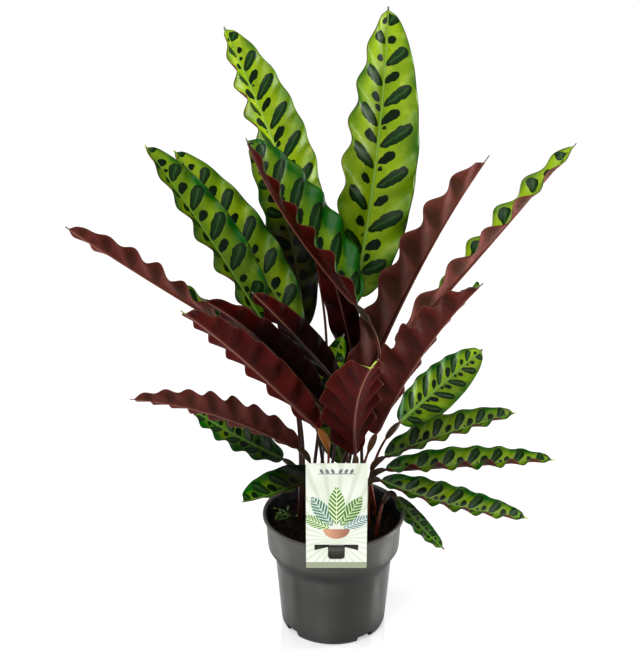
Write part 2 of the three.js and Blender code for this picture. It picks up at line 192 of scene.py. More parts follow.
def oval(tree, space, kind, number):
    """How far a point lies from the nearest oval of a kind: 1 is on its outline."""
    row, out, half_length, half_width = SPOTS[kind]
    wobble = blotches(tree, space["place"], 160, 1.0)
    wobble = ramp(tree, wobble, 0.3, 0.7, -0.022, 0.022, smooth=False)
    x = calc(tree, "ADD", calc(tree, "SUBTRACT", space["along"], row), wobble)
    cell = calc(tree, "ROUND", x)
    x = calc(tree, "SUBTRACT", x, cell)

    label = calc(tree, "ADD", cell, space["seed"])
    label = calc(tree, "ADD", label, calc(tree, "MULTIPLY", space["side"], 57.0))
    label = calc(tree, "ADD", label, 131.0 * number)
    draw = add_node(tree, "TexWhiteNoise", {"W": label}, noise_dimensions="1D")
    size = ramp(tree, draw, 0, 1, *{"long": (0.86, 1.06), "middling": (0.55, 1.15),
                                    "small": (-0.6, 1.3)}[kind], smooth=False)
    size = calc(tree, "MAXIMUM", size, 0.05)

    y = calc(tree, "MULTIPLY", calc(tree, "SUBTRACT", space["out"], out), space["ratio"])
    length = calc(tree, "ADD", calc(tree, "MULTIPLY", x, sin(VEIN_SLANT)),
                  calc(tree, "MULTIPLY", y, cos(VEIN_SLANT)))
    width = calc(tree, "SUBTRACT", calc(tree, "MULTIPLY", x, cos(VEIN_SLANT)),
                 calc(tree, "MULTIPLY", y, sin(VEIN_SLANT)))
    reach = calc(tree, "MULTIPLY", calc(tree, "MULTIPLY", space["ratio"], half_length), size)
    length = calc(tree, "DIVIDE", length, reach)
    # a deep green blade has broader ovals
    breadth = ramp(tree, space["deep"], 0.2, 0.7, half_width, 1.4 * half_width, smooth=False)
    breadth = calc(tree, "MULTIPLY", breadth, ramp(tree, size, 0.5, 1.1, 0.75, 1.05))
    # an egg, blunt towards the edge of the leaf
    breadth = calc(tree, "MULTIPLY", breadth, ramp(tree, length, -1, 1, 0.8, 1.15))
    width = calc(tree, "DIVIDE", width, breadth)
    square = calc(tree, "ADD", calc(tree, "POWER", calc(tree, "ABSOLUTE", length), 2.3),
                  calc(tree, "MULTIPLY", width, width))
    return calc(tree, "SQRT", square), width, length


def spot_masks(tree, space, soft):
    masks, core, vein_and_painted_highlight = [], None, None
    for number, kind in enumerate(SPOTS):
        far, width, length = oval(tree, space, kind, number)
        masks.append(ramp(tree, far, 1 + soft, 1 - soft))
        if kind == "long":
            # a thin line along each long oval: its vein, also a painted highlight
            thin = ramp(tree, calc(tree, "ABSOLUTE", width), 0.30, 0.0)
            vein_and_painted_highlight = calc(tree, "MULTIPLY", thin, ramp(tree, far, 0.95, 0.5))
            core = ramp(tree, far, 1.0, 0.55)
    both = calc(tree, "MAXIMUM", masks[0], calc(tree, "MAXIMUM", masks[1], masks[2]))
    return both, masks[0], core, vein_and_painted_highlight


def side_veins(tree, space):
    """Fine lines that leave the midrib and lean towards the tip."""
    y = calc(tree, "MULTIPLY", space["out"], space["ratio"])
    lean = calc(tree, "MULTIPLY", y, sin(VEIN_SLANT) / cos(VEIN_SLANT))
    lean = calc(tree, "ADD", lean, calc(tree, "MULTIPLY", calc(tree, "MULTIPLY", y, y), 0.22))
    line = calc(tree, "SUBTRACT", space["along"], lean)
    return calc(tree, "SINE", calc(tree, "MULTIPLY", line, 2 * pi * 13))


def dry_tip_and_painted_shade(tree, space, colour, shade_tint):
    """Adds the dry tip, and painted shade that darkens a blade deep inside the plant."""
    tip = mix_colour(tree, space["fresh"], rgb(112, 102, 90), rgb(168, 184, 78))
    colour = mix_colour(tree, space["dry"], colour, tip)
    dark = mix_colour(tree, 1.0, colour, shade_tint, blend="MULTIPLY")
    return mix_colour(tree, space["painted_shade"], colour, dark)


print("spot kinds:", ", ".join(SPOTS))

# %% [markdown]
# ## The upper side
#
# Its ground is a bright yellow-green, deeper near the edge and the base, and the
# whole leaf is deeper low in the plant. The ovals are nearly black-green with a
# lighter vein through them, painted paler along it as a highlight. The surface is
# satin, so the light draws soft streaks along the waves. A little bump gives the
# side veins.


# %% Upper side of the blade
def make_upper_side():
    material, tree, shader = new_material("leaf_upper_side")
    space = leaf_space(tree)
    spots, long_spots, core, vein_and_painted_highlight = spot_masks(tree, space, 0.06)
    veins = side_veins(tree, space)
    clouds = blotches(tree, space["place"], 38, 3.0)

    edge = ramp(tree, space["out"], 0.5, 1.0)
    base = ramp(tree, space["share"], 0.3, 0.0)
    depth = calc(tree, "ADD", space["deep"], calc(tree, "MULTIPLY", edge, 0.6))
    depth = calc(tree, "ADD", depth, calc(tree, "MULTIPLY", base, 0.35))
    depth = calc(tree, "ADD", depth, ramp(tree, clouds, 0.3, 0.7, -0.22, 0.22))
    ground = mix_colour(tree, calc(tree, "MINIMUM", calc(tree, "MAXIMUM", depth, 0.0), 1.0),
                        rgb(134, 164, 20), rgb(10, 82, 6))
    pale = ramp(tree, blotches(tree, space["place"], 70, 2.0), 0.5, 0.8, 0.0, 0.4)
    pale = calc(tree, "MULTIPLY", pale, ramp(tree, space["deep"], 0.0, 0.6, 1.0, 0.2))
    ground = mix_colour(tree, pale, ground, rgb(186, 196, 74))

    dark = mix_colour(tree, core, rgb(5, 30, 3), rgb(16, 50, 10))
    # the vein through each long oval, painted paler, partly as a painted highlight
    dark = mix_colour(tree, calc(tree, "MULTIPLY", vein_and_painted_highlight, 0.4), dark, rgb(72, 102, 58))
    colour = mix_colour(tree, spots, ground, dark)

    rib_width = ramp(tree, space["share"], 0.0, 1.0, 1.7, 0.5, smooth=False)
    rib = ramp(tree, calc(tree, "DIVIDE", space["out_mm"], rib_width), 1.15, 0.75)
    rib_side = ramp(tree, calc(tree, "DIVIDE", space["out_mm"], rib_width), 2.1, 1.1)
    colour = mix_colour(tree, calc(tree, "MULTIPLY", rib_side, 0.45), colour, rgb(66, 116, 34))
    colour = mix_colour(tree, rib, colour,
                        mix_colour(tree, space["deep"], rgb(138, 176, 70), rgb(70, 120, 50)))

    from_edge = calc(tree, "SUBTRACT", space["half_mm"], space["out_mm"])
    rim = ramp(tree, from_edge, 1.0, 0.2)
    colour = mix_colour(tree, calc(tree, "MULTIPLY", rim, 0.8), colour, rgb(44, 50, 24))
    # the dry tip, then painted shade that darkens the blade towards its base
    put(tree, shader.inputs["Base Color"],
        dry_tip_and_painted_shade(tree, space, colour, (0.10, 0.06, 0.05, 1)))

    shine = calc(tree, "ADD", ramp(tree, clouds, 0.3, 0.7, 0.28, 0.40),
                 calc(tree, "MULTIPLY", spots, 0.04))
    put(tree, shader.inputs["Roughness"], shine)
    shader.inputs["Specular IOR Level"].default_value = 0.14
    height = calc(tree, "ADD", calc(tree, "MULTIPLY", veins, 0.12),
                  calc(tree, "MULTIPLY", rib, -1.4))
    height = calc(tree, "ADD", height, calc(tree, "MULTIPLY", core, 1.6))
    put(tree, shader.inputs["Normal"], bump(tree, height, 0.00016, 0.7))
    return material


leaf_upper_side = make_upper_side()
print("made", leaf_upper_side.name)

# %% [markdown]
# ## The underside
#
# Seen from below the leaf is wine-red and a touch more matt, and some blades are a
# dustier rose than others. The ovals show through as brown bands with soft edges, the
# side veins stand out, and the midrib is a raised rib that is paler than the blade.


# %% Underside of the blade
def make_underside():
    material, tree, shader = new_material("leaf_underside")
    space = leaf_space(tree)
    spots, long_spots, core, vein_and_painted_highlight = spot_masks(tree, space, 0.35)
    veins = side_veins(tree, space)
    clouds = blotches(tree, space["place"], 45, 3.0)

    wine = mix_colour(tree, ramp(tree, clouds, 0.3, 0.7), rgb(55, 10, 7), rgb(71, 17, 13))
    dusty = mix_colour(tree, ramp(tree, clouds, 0.3, 0.7), rgb(118, 66, 58), rgb(140, 88, 76))
    colour = mix_colour(tree, space["rose"], wine, dusty)
    band = mix_colour(tree, 1.0, colour, (0.45, 0.70, 0.55, 1), blend="MULTIPLY")
    colour = mix_colour(tree, calc(tree, "MULTIPLY", long_spots, 0.8), colour, band)
    colour = mix_colour(tree, calc(tree, "MULTIPLY", spots, 0.25), colour, band)
    colour = mix_colour(tree, ramp(tree, veins, 0.4, 1.0, 0.0, 0.05), colour, rgb(120, 60, 54))
    rib = ramp(tree, space["out_mm"], 2.4, 0.9)
    colour = mix_colour(tree, calc(tree, "MULTIPLY", rib, 0.3), colour, rgb(112, 64, 54))
    from_edge = calc(tree, "SUBTRACT", space["half_mm"], space["out_mm"])
    rim = ramp(tree, from_edge, 0.9, 0.2)
    colour = mix_colour(tree, calc(tree, "MULTIPLY", rim, 0.5), colour, rgb(92, 66, 48))
    # the dry tip, then painted shade that darkens the blade towards its base
    put(tree, shader.inputs["Base Color"],
        dry_tip_and_painted_shade(tree, space, colour, (0.12, 0.05, 0.05, 1)))

    put(tree, shader.inputs["Roughness"], ramp(tree, clouds, 0.3, 0.7, 0.46, 0.6))
    shader.inputs["Specular IOR Level"].default_value = 0.04
    grain = blotches(tree, space["place"], 900, 2.0)
    height = calc(tree, "ADD", calc(tree, "MULTIPLY", veins, 0.45),
                  calc(tree, "MULTIPLY", grain, 0.4))
    put(tree, shader.inputs["Normal"], bump(tree, height, 0.00018, 0.7))
    return material


leaf_underside = make_underside()
print("made", leaf_underside.name)

# %% [markdown]
# ## The stalks
#
# Each stalk is thin and brown-red, with fine lines along it, and ends in a swollen
# joint just below the blade. That joint lets the living leaf turn to the light. Some
# joints are orange-brown, others stay green. The share attribute runs from -1 in the
# soil to 0 at the blade, so the finish can change along the stalk.


# %% Stalk, joint and rib
def make_stalk_skin():
    material, tree, shader = new_material("leaf_stalk")
    place = add_node(tree, "TexCoord", out=3)
    share = add_node(tree, "Attribute", out=2, attribute_name="share")
    warm = add_node(tree, "Attribute", out=2, attribute_name="warm")
    stretch = add_node(tree, "Mapping", {"Vector": place, "Scale": (1.0, 1.0, 0.06)})
    lines = blotches(tree, stretch, 900, 2.0)
    clouds = blotches(tree, place, 60, 2.0)
    colour = mix_colour(tree, ramp(tree, clouds, 0.35, 0.65), rgb(92, 40, 28), rgb(128, 62, 36))
    colour = mix_colour(tree, ramp(tree, lines, 0.4, 0.7, 0.0, 0.12), colour, rgb(64, 28, 22))
    joint = calc(tree, "MULTIPLY", ramp(tree, share, -0.16, -0.11), ramp(tree, share, 0.02, -0.005))
    swollen = mix_colour(tree, warm, rgb(36, 34, 15), rgb(146, 88, 36))
    colour = mix_colour(tree, joint, colour, swollen)
    rib = ramp(tree, share, 0.0, 0.04)
    along_rib = mix_colour(tree, ramp(tree, share, 0.0, 0.9), rgb(84, 40, 32), rgb(124, 78, 62))
    colour = mix_colour(tree, rib, colour, along_rib)
    # painted shade: the stalk darkens towards the soil, down under the leaves
    colour = mix_colour(tree, ramp(tree, share, -0.3, -0.95, 0.0, 0.8), colour, rgb(26, 14, 10))
    # painted shade: the stalk is darkened by its painted_shade attribute
    painted_shade = add_node(tree, "Attribute", out=2, attribute_name="painted_shade")
    dark = mix_colour(tree, 1.0, colour, (0.14, 0.08, 0.08, 1), blend="MULTIPLY")
    colour = mix_colour(tree, painted_shade, colour, dark)
    put(tree, shader.inputs["Base Color"], colour)
    shader.inputs["Roughness"].default_value = 0.42
    shader.inputs["Specular IOR Level"].default_value = 0.2
    put(tree, shader.inputs["Normal"], bump(tree, lines, 0.0001, 0.3))
    return material


leaf_stalk = make_stalk_skin()
print("made", leaf_stalk.name)

# %% [markdown]
# ## The leaf table
#
# The first ten values of a row are the CAD model's own, in millimetres and degrees: a
# leaf is told by its root, three points on its midrib, its half width, how far it is
# rolled about its own line, the twist from base to tip, how far its halves are raised,
# and the number and height of its waves. The second line of each row is for looks, and
# all but one go from 0 to 1: how deep the green is, how orange the joint, how much
# painted shade darkens the blade towards its base, how rosy the underside, how many
# millimetres of the tip are dry, and whether that tip is still fresh and green.

# %% Leaves
LEAF_KEYS = ("root", "base", "middle", "tip", "half", "roll", "twist", "fold",
             "waves", "wave", "deep", "warm", "painted_shade", "rose", "dry", "fresh")
LEAF_TABLE = [
    # tall right
    ((8, 40), (20, 50, 330), (40, 75, 465), (50, 100, 600), 40, 18, 0, 25, 7, 4,
     0.12, 0.1, 0.25, 0.2, 2, 0),
    # tall left
    ((-12, 46), (-25, 90, 375), (-60, 110, 470), (-105, 130, 575), 35, 40, 0, 28, 7, 4.5,
     0.05, 0.1, 0.0, 0.2, 2, 0),
    # left front
    ((-33, -1), (-65, -10, 325), (-115, -5, 410), (-170, 0, 495), 28, 42, 0, 35, 6, 4.5,
     0.38, 0.1, 0.3, 0.2, 1, 1),
    # left behind
    ((-22, 22), (-35, 10, 310), (-90, 35, 395), (-150, 55, 475), 29, 38, 0, 30, 6, 4,
     0.2, 0.1, 0.3, 0.2, 1, 1),
    # centre lean
    ((-8, 34), (-30, 45, 300), (-45, 60, 400), (-80, 65, 480), 21, 5, 0, 15, 6, 4,
     0.4, 0.1, 1.6, 0.0, 2, 0),
    # centre fold
    ((-2, 11), (20, -8, 345), (-42, 10, 420), (-80, 5, 500), 46, 64, -8, 38, 6, 4.5,
     0.6, 0.1, 0.1, 0.0, 2, 0),
    # far left
    ((-30, 10), (-85, 15, 305), (-165, 5, 360), (-245, -5, 420), 22, 100, 80, 30, 7, 5,
     0.3, 0.1, 0.0, 0.2, 3, 0),
    # big left
    ((-15, -20), (-15, -25, 225), (-80, -80, 320), (-130, -135, 390), 23, 138, 0, 35, 7, 5,
     0.5, 1.0, 0.15, 0.0, 6, 0.4),
    # upper one behind the big left leaf
    ((-12, -8), (-10, -20, 245), (-65, -50, 325), (-115, -85, 380), 20, 138, 0, 30, 6, 4,
     0.5, 0.1, 2.0, 0.0, 2, 0),
    # lower one behind the big left leaf
    ((6, -10), (4, -10, 265), (-35, -25, 320), (-75, -40, 370), 17, 150, 0, 30, 5, 4,
     0.5, 0.1, 1.6, 0.0, 2, 0),
    # low left
    ((-26, -16), (-35, -15, 200), (-110, -45, 250), (-185, -75, 280), 23, 122, 0, 26, 8, 4.5,
     0.5, 0.1, 0.5, 0.25, 3, 0),
    # under the low left
    ((-34, 18), (-50, 10, 175), (-95, 20, 195), (-140, 30, 220), 18, 40, 0, 15, 5, 3.5,
     0.7, 0.1, 0.8, 0.1, 1, 0),
    # small left
    ((-18, -32), (-10, -30, 180), (-50, -55, 175), (-85, -85, 180), 24, 60, 0, 30, 4, 1.5,
     0.75, 0.1, 1.2, 0.1, 1, 0),
    # tall right, seen from below
    ((20, 7), (20, 10, 230), (80, 30, 365), (145, 55, 470), 34, -105, 0, 40, 7, 9,
     0.4, 0.2, 0.62, 0.42, 9, 0),
    # far right
    ((30, 4), (60, 0, 300), (145, 10, 400), (220, 25, 490), 24, -88, 60, 27, 6, 6.5,
     0.02, 0.1, 0.0, 0.36, 2, 0),
    # front right
    ((20, -16), (40, -15, 215), (80, -60, 320), (125, -110, 405), 34, -122, 0, 32, 7, 7,
     0.4, 0.3, 0.35, 0.1, 7, 0),
    # broad right
    ((36, 28), (65, 30, 205), (105, 60, 230), (150, 85, 260), 23, 5, 0, 15, 6, 2,
     0.4, 0.15, 0.15, 0.2, 1, 0),
    # first low right
    ((41, 16), (50, 5, 180), (110, 5, 205), (175, 0, 230), 20, -54, 0, 34, 6, 4,
     0.4, 0.2, 0.5, 0.2, 1, 1),
    # second low right
    ((34, -6), (50, -12, 175), (130, -22, 185), (210, -30, 195), 19, -58, 0, 38, 7, 4.5,
     0.4, 0.1, 0.35, 0.2, 2, 1),
    # third low right
    ((28, -22), (45, -25, 170), (110, -55, 160), (180, -80, 160), 20, -54, 0, 35, 7, 3.5,
     0.5, 0.1, 0.5, 0.2, 2, 1),
    # small low right
    ((42, -26), (60, -30, 155), (80, -45, 135), (105, -60, 115), 9, -20, 0, 20, 5, 2,
     0.75, 0.1, 0.8, 0.1, 2, 0),
    # small centre
    ((5, -34), (20, -40, 205), (20, -85, 282), (35, -120, 337), 34, 200, 0, 42, 6, 6.5,
     0.3, 0.2, 0.5, 0.0, 12, 1),
    # centre behind
    ((4, 19), (10, 20, 165), (-5, 25, 235), (10, 30, 300), 17, -10, 0, 12, 5, 3,
     0.5, 0.1, 0.75, 0.1, 2, 0),
    # dark one behind the centre fold
    ((16, 30), (24, 40, 250), (0, 32, 355), (-20, 32, 418), 16, 180, 0, 15, 5, 2.5,
     0.5, 0.1, 0.95, 0.0, 2, 0),
]
leaves = [dict(zip(LEAF_KEYS, row)) for row in LEAF_TABLE]
print("leaves:", len(leaves))

# %% [markdown]
# ## The midrib as a curve
#
# The midrib is one smooth arc through three points, which is what a quadratic Bezier
# curve gives. Equal steps of its parameter aren't equal lengths, so the arc is measured
# once in small steps, and a share of its length is looked up.

# %% The midrib and the outline
ARC_STEPS = 200
FRONT = Vector((0, -0.92, 0.39))  # where a blade of no roll looks
VEIN_LEAN = 0.78                  # how far a side vein runs ahead on its way out
WAVE_GROWTH, WAVE_RISE = 0.25, 1.6
WIDEST_SHIFT, OUTLINE_POWER = 0.85, 0.5
POINT_START, POINT_HALF_WIDTH = 0.985, 0.9
POINT_TAPER = 5                   # the tip narrows to its point over this length


def smooth_step(start, end, value):
    """0 at the start, 1 at the end, and an S between them."""
    t = min(max((value - start) / (end - start), 0.0), 1.0)
    return t * t * (3 - 2 * t)


class Arc:
    """A curve that is walked by shares of its length."""

    def __init__(self, at):
        self.at = at
        points = [at(i / ARC_STEPS) for i in range(ARC_STEPS + 1)]
        self.lengths = [0.0]
        for a, b in zip(points, points[1:]):
            self.lengths.append(self.lengths[-1] + (b - a).length)
        self.length = self.lengths[-1]

    def parameter(self, share):
        target = min(max(share, 0.0), 1.0) * self.length
        low, high = 0, ARC_STEPS
        while high - low > 1:
            middle = (low + high) // 2
            low, high = (middle, high) if self.lengths[middle] <= target else (low, middle)
        step = self.lengths[high] - self.lengths[low]
        return (low + (target - self.lengths[low]) / max(step, 1e-9)) / ARC_STEPS

    def point(self, share):
        return self.at(self.parameter(share))

    def tangent(self, share):
        t = self.parameter(share)
        a, b = max(t - 1e-4, 0.0), min(t + 1e-4, 1.0)
        return (self.at(b) - self.at(a)).normalized()


def midrib_of(leaf):
    base, middle, tip = (Vector(leaf[key]) for key in ("base", "middle", "tip"))
    control = 2 * middle - (base + tip) / 2
    return Arc(lambda t: (1 - t) ** 2 * base + 2 * t * (1 - t) * control + t * t * tip)


def share_at_waves(p):
    g = WAVE_GROWTH
    return (sqrt(1 + 4 * g * (1 + g) * p) - 1) / (2 * g)


def half_width_at(leaf, midrib, share):
    u = min(share / POINT_START, 1.0)
    outline = max(sin(pi * u ** WIDEST_SHIFT), 0.0) ** OUTLINE_POWER
    from_dry = (1 - share) * midrib.length - leaf["dry"]
    full = leaf["half"] * outline * smooth_step(-2, POINT_TAPER, from_dry)
    return max(full, POINT_HALF_WIDTH)


def face_of(leaf):
    """The way that a blade's upper side looks as a whole."""
    line = (Vector(leaf["tip"]) - Vector(leaf["base"])).normalized()
    face = FRONT - line * FRONT.dot(line)
    face.rotate(Matrix.Rotation(radians(leaf["roll"]), 3, line))
    return face


def blade_frame(leaf, midrib, share):
    """Along the midrib, up from the upper side, and to the right."""
    along = midrib.tangent(share)
    up = face_of(leaf)
    up = (up - along * up.dot(along)).normalized()
    up.rotate(Matrix.Rotation(radians(leaf["twist"]) * (share - 0.5), 3, along))
    return along, up, along.cross(up)


tall = midrib_of(leaves[0])
print("longest blade in mm:", round(tall.length))

# %% [markdown]
# ## Bending a grid into a blade
#
# bmesh gives a flat grid. Each of its points is moved to the midrib, out to one side
# and up by the wave. The wave grows towards the edge and runs slantwise, along the
# side veins, and the two sides are half a wave apart. That is how the edges of a
# living leaf are waved. On top of the CAD's even waves, each wave here
# differs a little from the next, and the blade puckers between its veins.

# %% Blade surface
COLUMNS = 24
ROWS_PER_WAVE = 20
BLADE_THICKNESS = 0.55
PUCKER = 0.22          # height of the swellings between the side veins
VEINS_PER_WAVE = 6.5


def vein_lean(leaf, midrib):
    """How many waves a side vein runs ahead between the midrib and the edge."""
    return VEIN_LEAN * leaf["half"] * leaf["waves"] / midrib.length


def blade_point(leaf, midrib, share, frame_here, p, v, seed):
    along, up, right = frame_here
    side, out = (1 if v >= 0 else -1), abs(v)
    fold = radians(leaf["fold"])
    half = half_width_at(leaf, midrib, share)
    turns = leaf["waves"] * p + vein_lean(leaf, midrib) * (1 - out) + (0.5 if v < 0 else 0)
    uneven = noise.noise((turns * 0.45 + seed, side * 7.3, 0.5))
    height = leaf["wave"] * (1 + 0.5 * uneven) * out ** WAVE_RISE * cos(2 * pi * turns)
    height *= half / leaf["half"]
    pucker = PUCKER * sin(2 * pi * VEINS_PER_WAVE * turns) * out * (1 - out ** 4)
    height += pucker * min(1.0, half / 12)
    width = half * out * (1 + 0.025 * noise.noise((turns * 1.3, seed, side * 3.1)))

    return (midrib.point(share)
            + right * side * (width * cos(fold) - height * sin(fold))
            + up * (width * sin(fold) + height * cos(fold)))


def new_values(bm):
    return {name: bm.verts.layers.float.new(name) for name in LEAF_VALUES}


# painted shade: the blade is darkened from its base up, for the shade deep in the plant
def painted_shade_at(leaf, share):
    return min(leaf["painted_shade"] * smooth_step(0.95, 0.2, share), 1.0)


def values_at(leaf, midrib, number, share, p):
    """What a point of the blade knows, for the pattern and the finish."""
    g = WAVE_GROWTH
    growth = (1 + g) / sqrt(1 + 4 * g * (1 + g) * p)
    from_tip = (1 - share) * midrib.length
    return {
        "half_mm": half_width_at(leaf, midrib, share),
        "period_mm": midrib.length * growth / leaf["waves"],
        "seed": 11.0 * number, "share": share,
        "deep": leaf["deep"], "warm": leaf["warm"],
        "painted_shade": painted_shade_at(leaf, share), "rose": leaf["rose"],
        "dry": smooth_step(leaf["dry"] + 2, leaf["dry"], from_tip), "fresh": leaf["fresh"],
    }


def make_blade(leaf, midrib, number):
    """The thin sheet, with its own U and V and the sizes that the pattern needs."""
    bm = bmesh.new()
    uv_layer = bm.loops.layers.uv.new("blade")
    layers = new_values(bm)
    rows = leaf["waves"] * ROWS_PER_WAVE
    bmesh.ops.create_grid(bm, x_segments=COLUMNS, y_segments=rows, size=1)
    lean = vein_lean(leaf, midrib)

    for face in bm.faces:
        face.smooth = True
        face_side = 0.5 if face.calc_center_median().x < 0 else 0
        for loop in face.loops:
            v, p = loop.vert.co.x, (loop.vert.co.y + 1) / 2
            loop[uv_layer].uv = (leaf["waves"] * p + lean + face_side, v)

    lines = {}
    for vert in bm.verts:
        lines.setdefault(round(vert.co.y, 5), []).append(vert)
    for y, line in lines.items():
        p = (y + 1) / 2
        share = share_at_waves(p)
        frame_here = blade_frame(leaf, midrib, share)
        values = values_at(leaf, midrib, number, share, p)
        for vert in line:
            for name, value in values.items():
                vert[layers[name]] = value
            vert.co = MM * blade_point(leaf, midrib, share, frame_here, p, vert.co.x,
                                       values["seed"])
    return bm


# %% [markdown]
# ## The stalk as a swept ring
#
# A stalk starts as one small round face. It is extruded ring after ring, and each new
# ring is carried to the next station of the curve and scaled to the radius
# there. Below the blade the stalk swells into the joint, and then runs on under the
# midrib, thinner and thinner, up to the tip.

# %% Stalk and rib
SOIL_TOP_Z, STALK_DEPTH = 111, 15
STALK_FOOT_RADIUS, STALK_TOP_RADIUS = 2.2, 1.2
STALK_REACH = 0.38
JOINT_RADIUS, JOINT_LENGTH = 3.2, 20
JOINT_VALUE = -0.14    # what share is called where the joint starts
RIB_FOOT_RADIUS, RIB_TOP_RADIUS = 1.7, 0.35
STALK_SIDES = 10
# painted shade on the stalks, less where a leaf's joint is warm
STALK_SHADE = 0.72


def turned_frame(along, across):
    across = (across - along * across.dot(along)).normalized()
    return across, along.cross(across)


def ring_matrix(point, along, across, radius):
    across, aside = turned_frame(along, across)
    columns = Matrix((across * radius, aside * radius, along)).transposed().to_4x4()
    columns.translation = point
    return columns


def sweep(bm, stations):
    """Extrudes a round face from station to station: (point, direction, radius, value)."""
    across = Vector((1, 0, 0.01))
    place, last, inner = None, None, False
    for point, along, radius, values in stations:
        across, _ = turned_frame(along, across)
        matrix = ring_matrix(point * MM, along, across, radius * MM)
        if place is None:
            ring = bmesh.ops.create_circle(bm, cap_ends=True, segments=STALK_SIDES,
                                           radius=1, matrix=matrix)
            verts = ring["verts"]
            last = verts[0].link_faces[0]
        else:
            grown = bmesh.ops.extrude_face_region(bm, geom=[last])
            if inner:  # the face that grew stays behind as a disc, and only the foot needs one
                bmesh.ops.delete(bm, geom=[last], context="FACES_ONLY")
            inner = True
            verts = [e for e in grown["geom"] if isinstance(e, bmesh.types.BMVert)]
            last = next(e for e in grown["geom"] if isinstance(e, bmesh.types.BMFace))
            bmesh.ops.transform(bm, matrix=matrix @ place.inverted(), verts=verts)
        for vert in verts:
            for layer, value in values:
                vert[layer] = value
        place = matrix


def stalk_curve(leaf, midrib):
    x, y = leaf["root"]
    start = Vector((x, y, SOIL_TOP_Z + 1))
    base, arrive = midrib.point(0), midrib.tangent(0)
    reach = (base - start).length * STALK_REACH
    a, b = start + Vector((0, 0, reach)), base - arrive * reach
    return Arc(lambda t: (1 - t) ** 3 * start + 3 * t * (1 - t) ** 2 * a
               + 3 * t * t * (1 - t) * b + t ** 3 * base)


def stalk_stations(leaf, midrib):
    """From the soil through the joint to the blade."""
    curve = stalk_curve(leaf, midrib)
    x, y = leaf["root"]
    foot = Vector((x, y, SOIL_TOP_Z - STALK_DEPTH + 0.5))
    stations = [(foot, Vector((0, 0, 1)), STALK_FOOT_RADIUS, -1.0)]
    joint_length = JOINT_LENGTH * (1 + 0.45 * leaf["warm"])
    joint_start = 1 - joint_length / curve.length
    swell = JOINT_RADIUS + 1.0 * leaf["warm"]
    steps = 34
    for i in range(steps + 1):
        t = i / steps
        radius = STALK_FOOT_RADIUS + (STALK_TOP_RADIUS - STALK_FOOT_RADIUS) * t / joint_start
        if t > joint_start:
            inside = (t - joint_start) / (1 - joint_start)
            radius = STALK_TOP_RADIUS + (swell - STALK_TOP_RADIUS) * sin(pi * inside) ** 0.6
        value = max((1 - t) * curve.length / joint_length * JOINT_VALUE, -1.0)
        stations.append((curve.point(t), curve.tangent(t), radius, value))
    return stations


def rib_stations(leaf, midrib):
    """On under the midrib, up to the tip."""
    stations = []
    steps = 28
    for i in range(1, steps + 1):
        s = 0.97 * i / steps
        along, up, _ = blade_frame(leaf, midrib, s)
        radius = RIB_TOP_RADIUS + (RIB_FOOT_RADIUS - RIB_TOP_RADIUS) * (1 - s) ** 1.5
        stations.append((midrib.point(s) - up * radius * 0.75, along, radius, s))
    return stations


def stalk_painted_shade_at(leaf, share):
    """Painted shade on the stalk, for the shade of the blades; a leaf with a warm joint gets less.
    """
    shade = STALK_SHADE * (1 - leaf["warm"]) if share < 0 else 0.0
    return max(painted_shade_at(leaf, share), shade)


def make_stalk(leaf, midrib):
    bm = bmesh.new()
    bm.loops.layers.uv.new("blade")
    layers = new_values(bm)
    stations = stalk_stations(leaf, midrib) + rib_stations(leaf, midrib)
    named = [(point, along, radius,
              [(layers["share"], share), (layers["warm"], leaf["warm"]),
               (layers["painted_shade"], stalk_painted_shade_at(leaf, share))])
             for point, along, radius, share in stations]
    sweep(bm, named)
    for face in bm.faces:
        face.smooth = True
        face.material_index = 2
    bmesh.ops.recalc_face_normals(bm, faces=bm.faces)
    return bm


# %% [markdown]
# ## Putting a leaf together
#
# The blade sheet gets its thickness from a Solidify modifier, because it can give
# the new side and the rim another material slot. The result is then read back and
# joined with the stalk as one mesh, since the leaf grew as one piece.


# %% Leaves as finished pieces
def to_mesh(bm, name):
    mesh = bpy.data.meshes.new(name)
    bm.to_mesh(mesh)
    bm.free()
    return mesh


def link_piece(name, mesh, materials, node):
    piece = bpy.data.objects.new(name, mesh)
    scene.collection.objects.link(piece)
    for material in materials:
        mesh.materials.append(material)
    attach(piece, "root")
    if node:
        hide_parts(node)
    return piece


def thickened(mesh, thickness):
    """The mesh with Solidify applied, the new side in the next material slot."""
    holder = bpy.data.objects.new("holder", mesh)
    scene.collection.objects.link(holder)
    for material in (leaf_upper_side, leaf_underside):
        mesh.materials.append(material)
    solidify = holder.modifiers.new("thickness", "SOLIDIFY")
    solidify.thickness = thickness
    solidify.offset = 0
    solidify.material_offset = 1
    solidify.material_offset_rim = 1
    bpy.context.view_layer.update()
    shaped = holder.evaluated_get(bpy.context.evaluated_depsgraph_get())
    result = bpy.data.meshes.new_from_object(shaped)
    bpy.data.objects.remove(holder)
    return result


def make_leaf(leaf, number):
    name = f"leaf_{number:02d}"
    midrib = midrib_of(leaf)
    blade = to_mesh(make_blade(leaf, midrib, number), name + "_sheet")
    blade = thickened(blade, BLADE_THICKNESS * MM)
    stalk = to_mesh(make_stalk(leaf, midrib), name + "_stalk")
    whole = bmesh.new()
    whole.from_mesh(blade)
    whole.from_mesh(stalk)
    mesh = to_mesh(whole, name + "_grown")
    materials = (leaf_upper_side, leaf_underside, leaf_stalk)
    return link_piece("calathea_" + name, mesh, materials, name)


leaf_pieces = [make_leaf(leaf, i + 1) for i, leaf in enumerate(leaves)]
print("leaf faces:", sum(len(piece.data.polygons) for piece in leaf_pieces))

# %% [markdown]
# ## The pot
#
# A nursery pot is blown or moulded from one thin sheet, so it is a body of
# revolution: a profile spun about the axis. The lip is turned outwards and
# rounded, the band below it tapers, and a shoulder leads to the lower wall. Four
# drainage notches are cut through the corner of wall and floor.

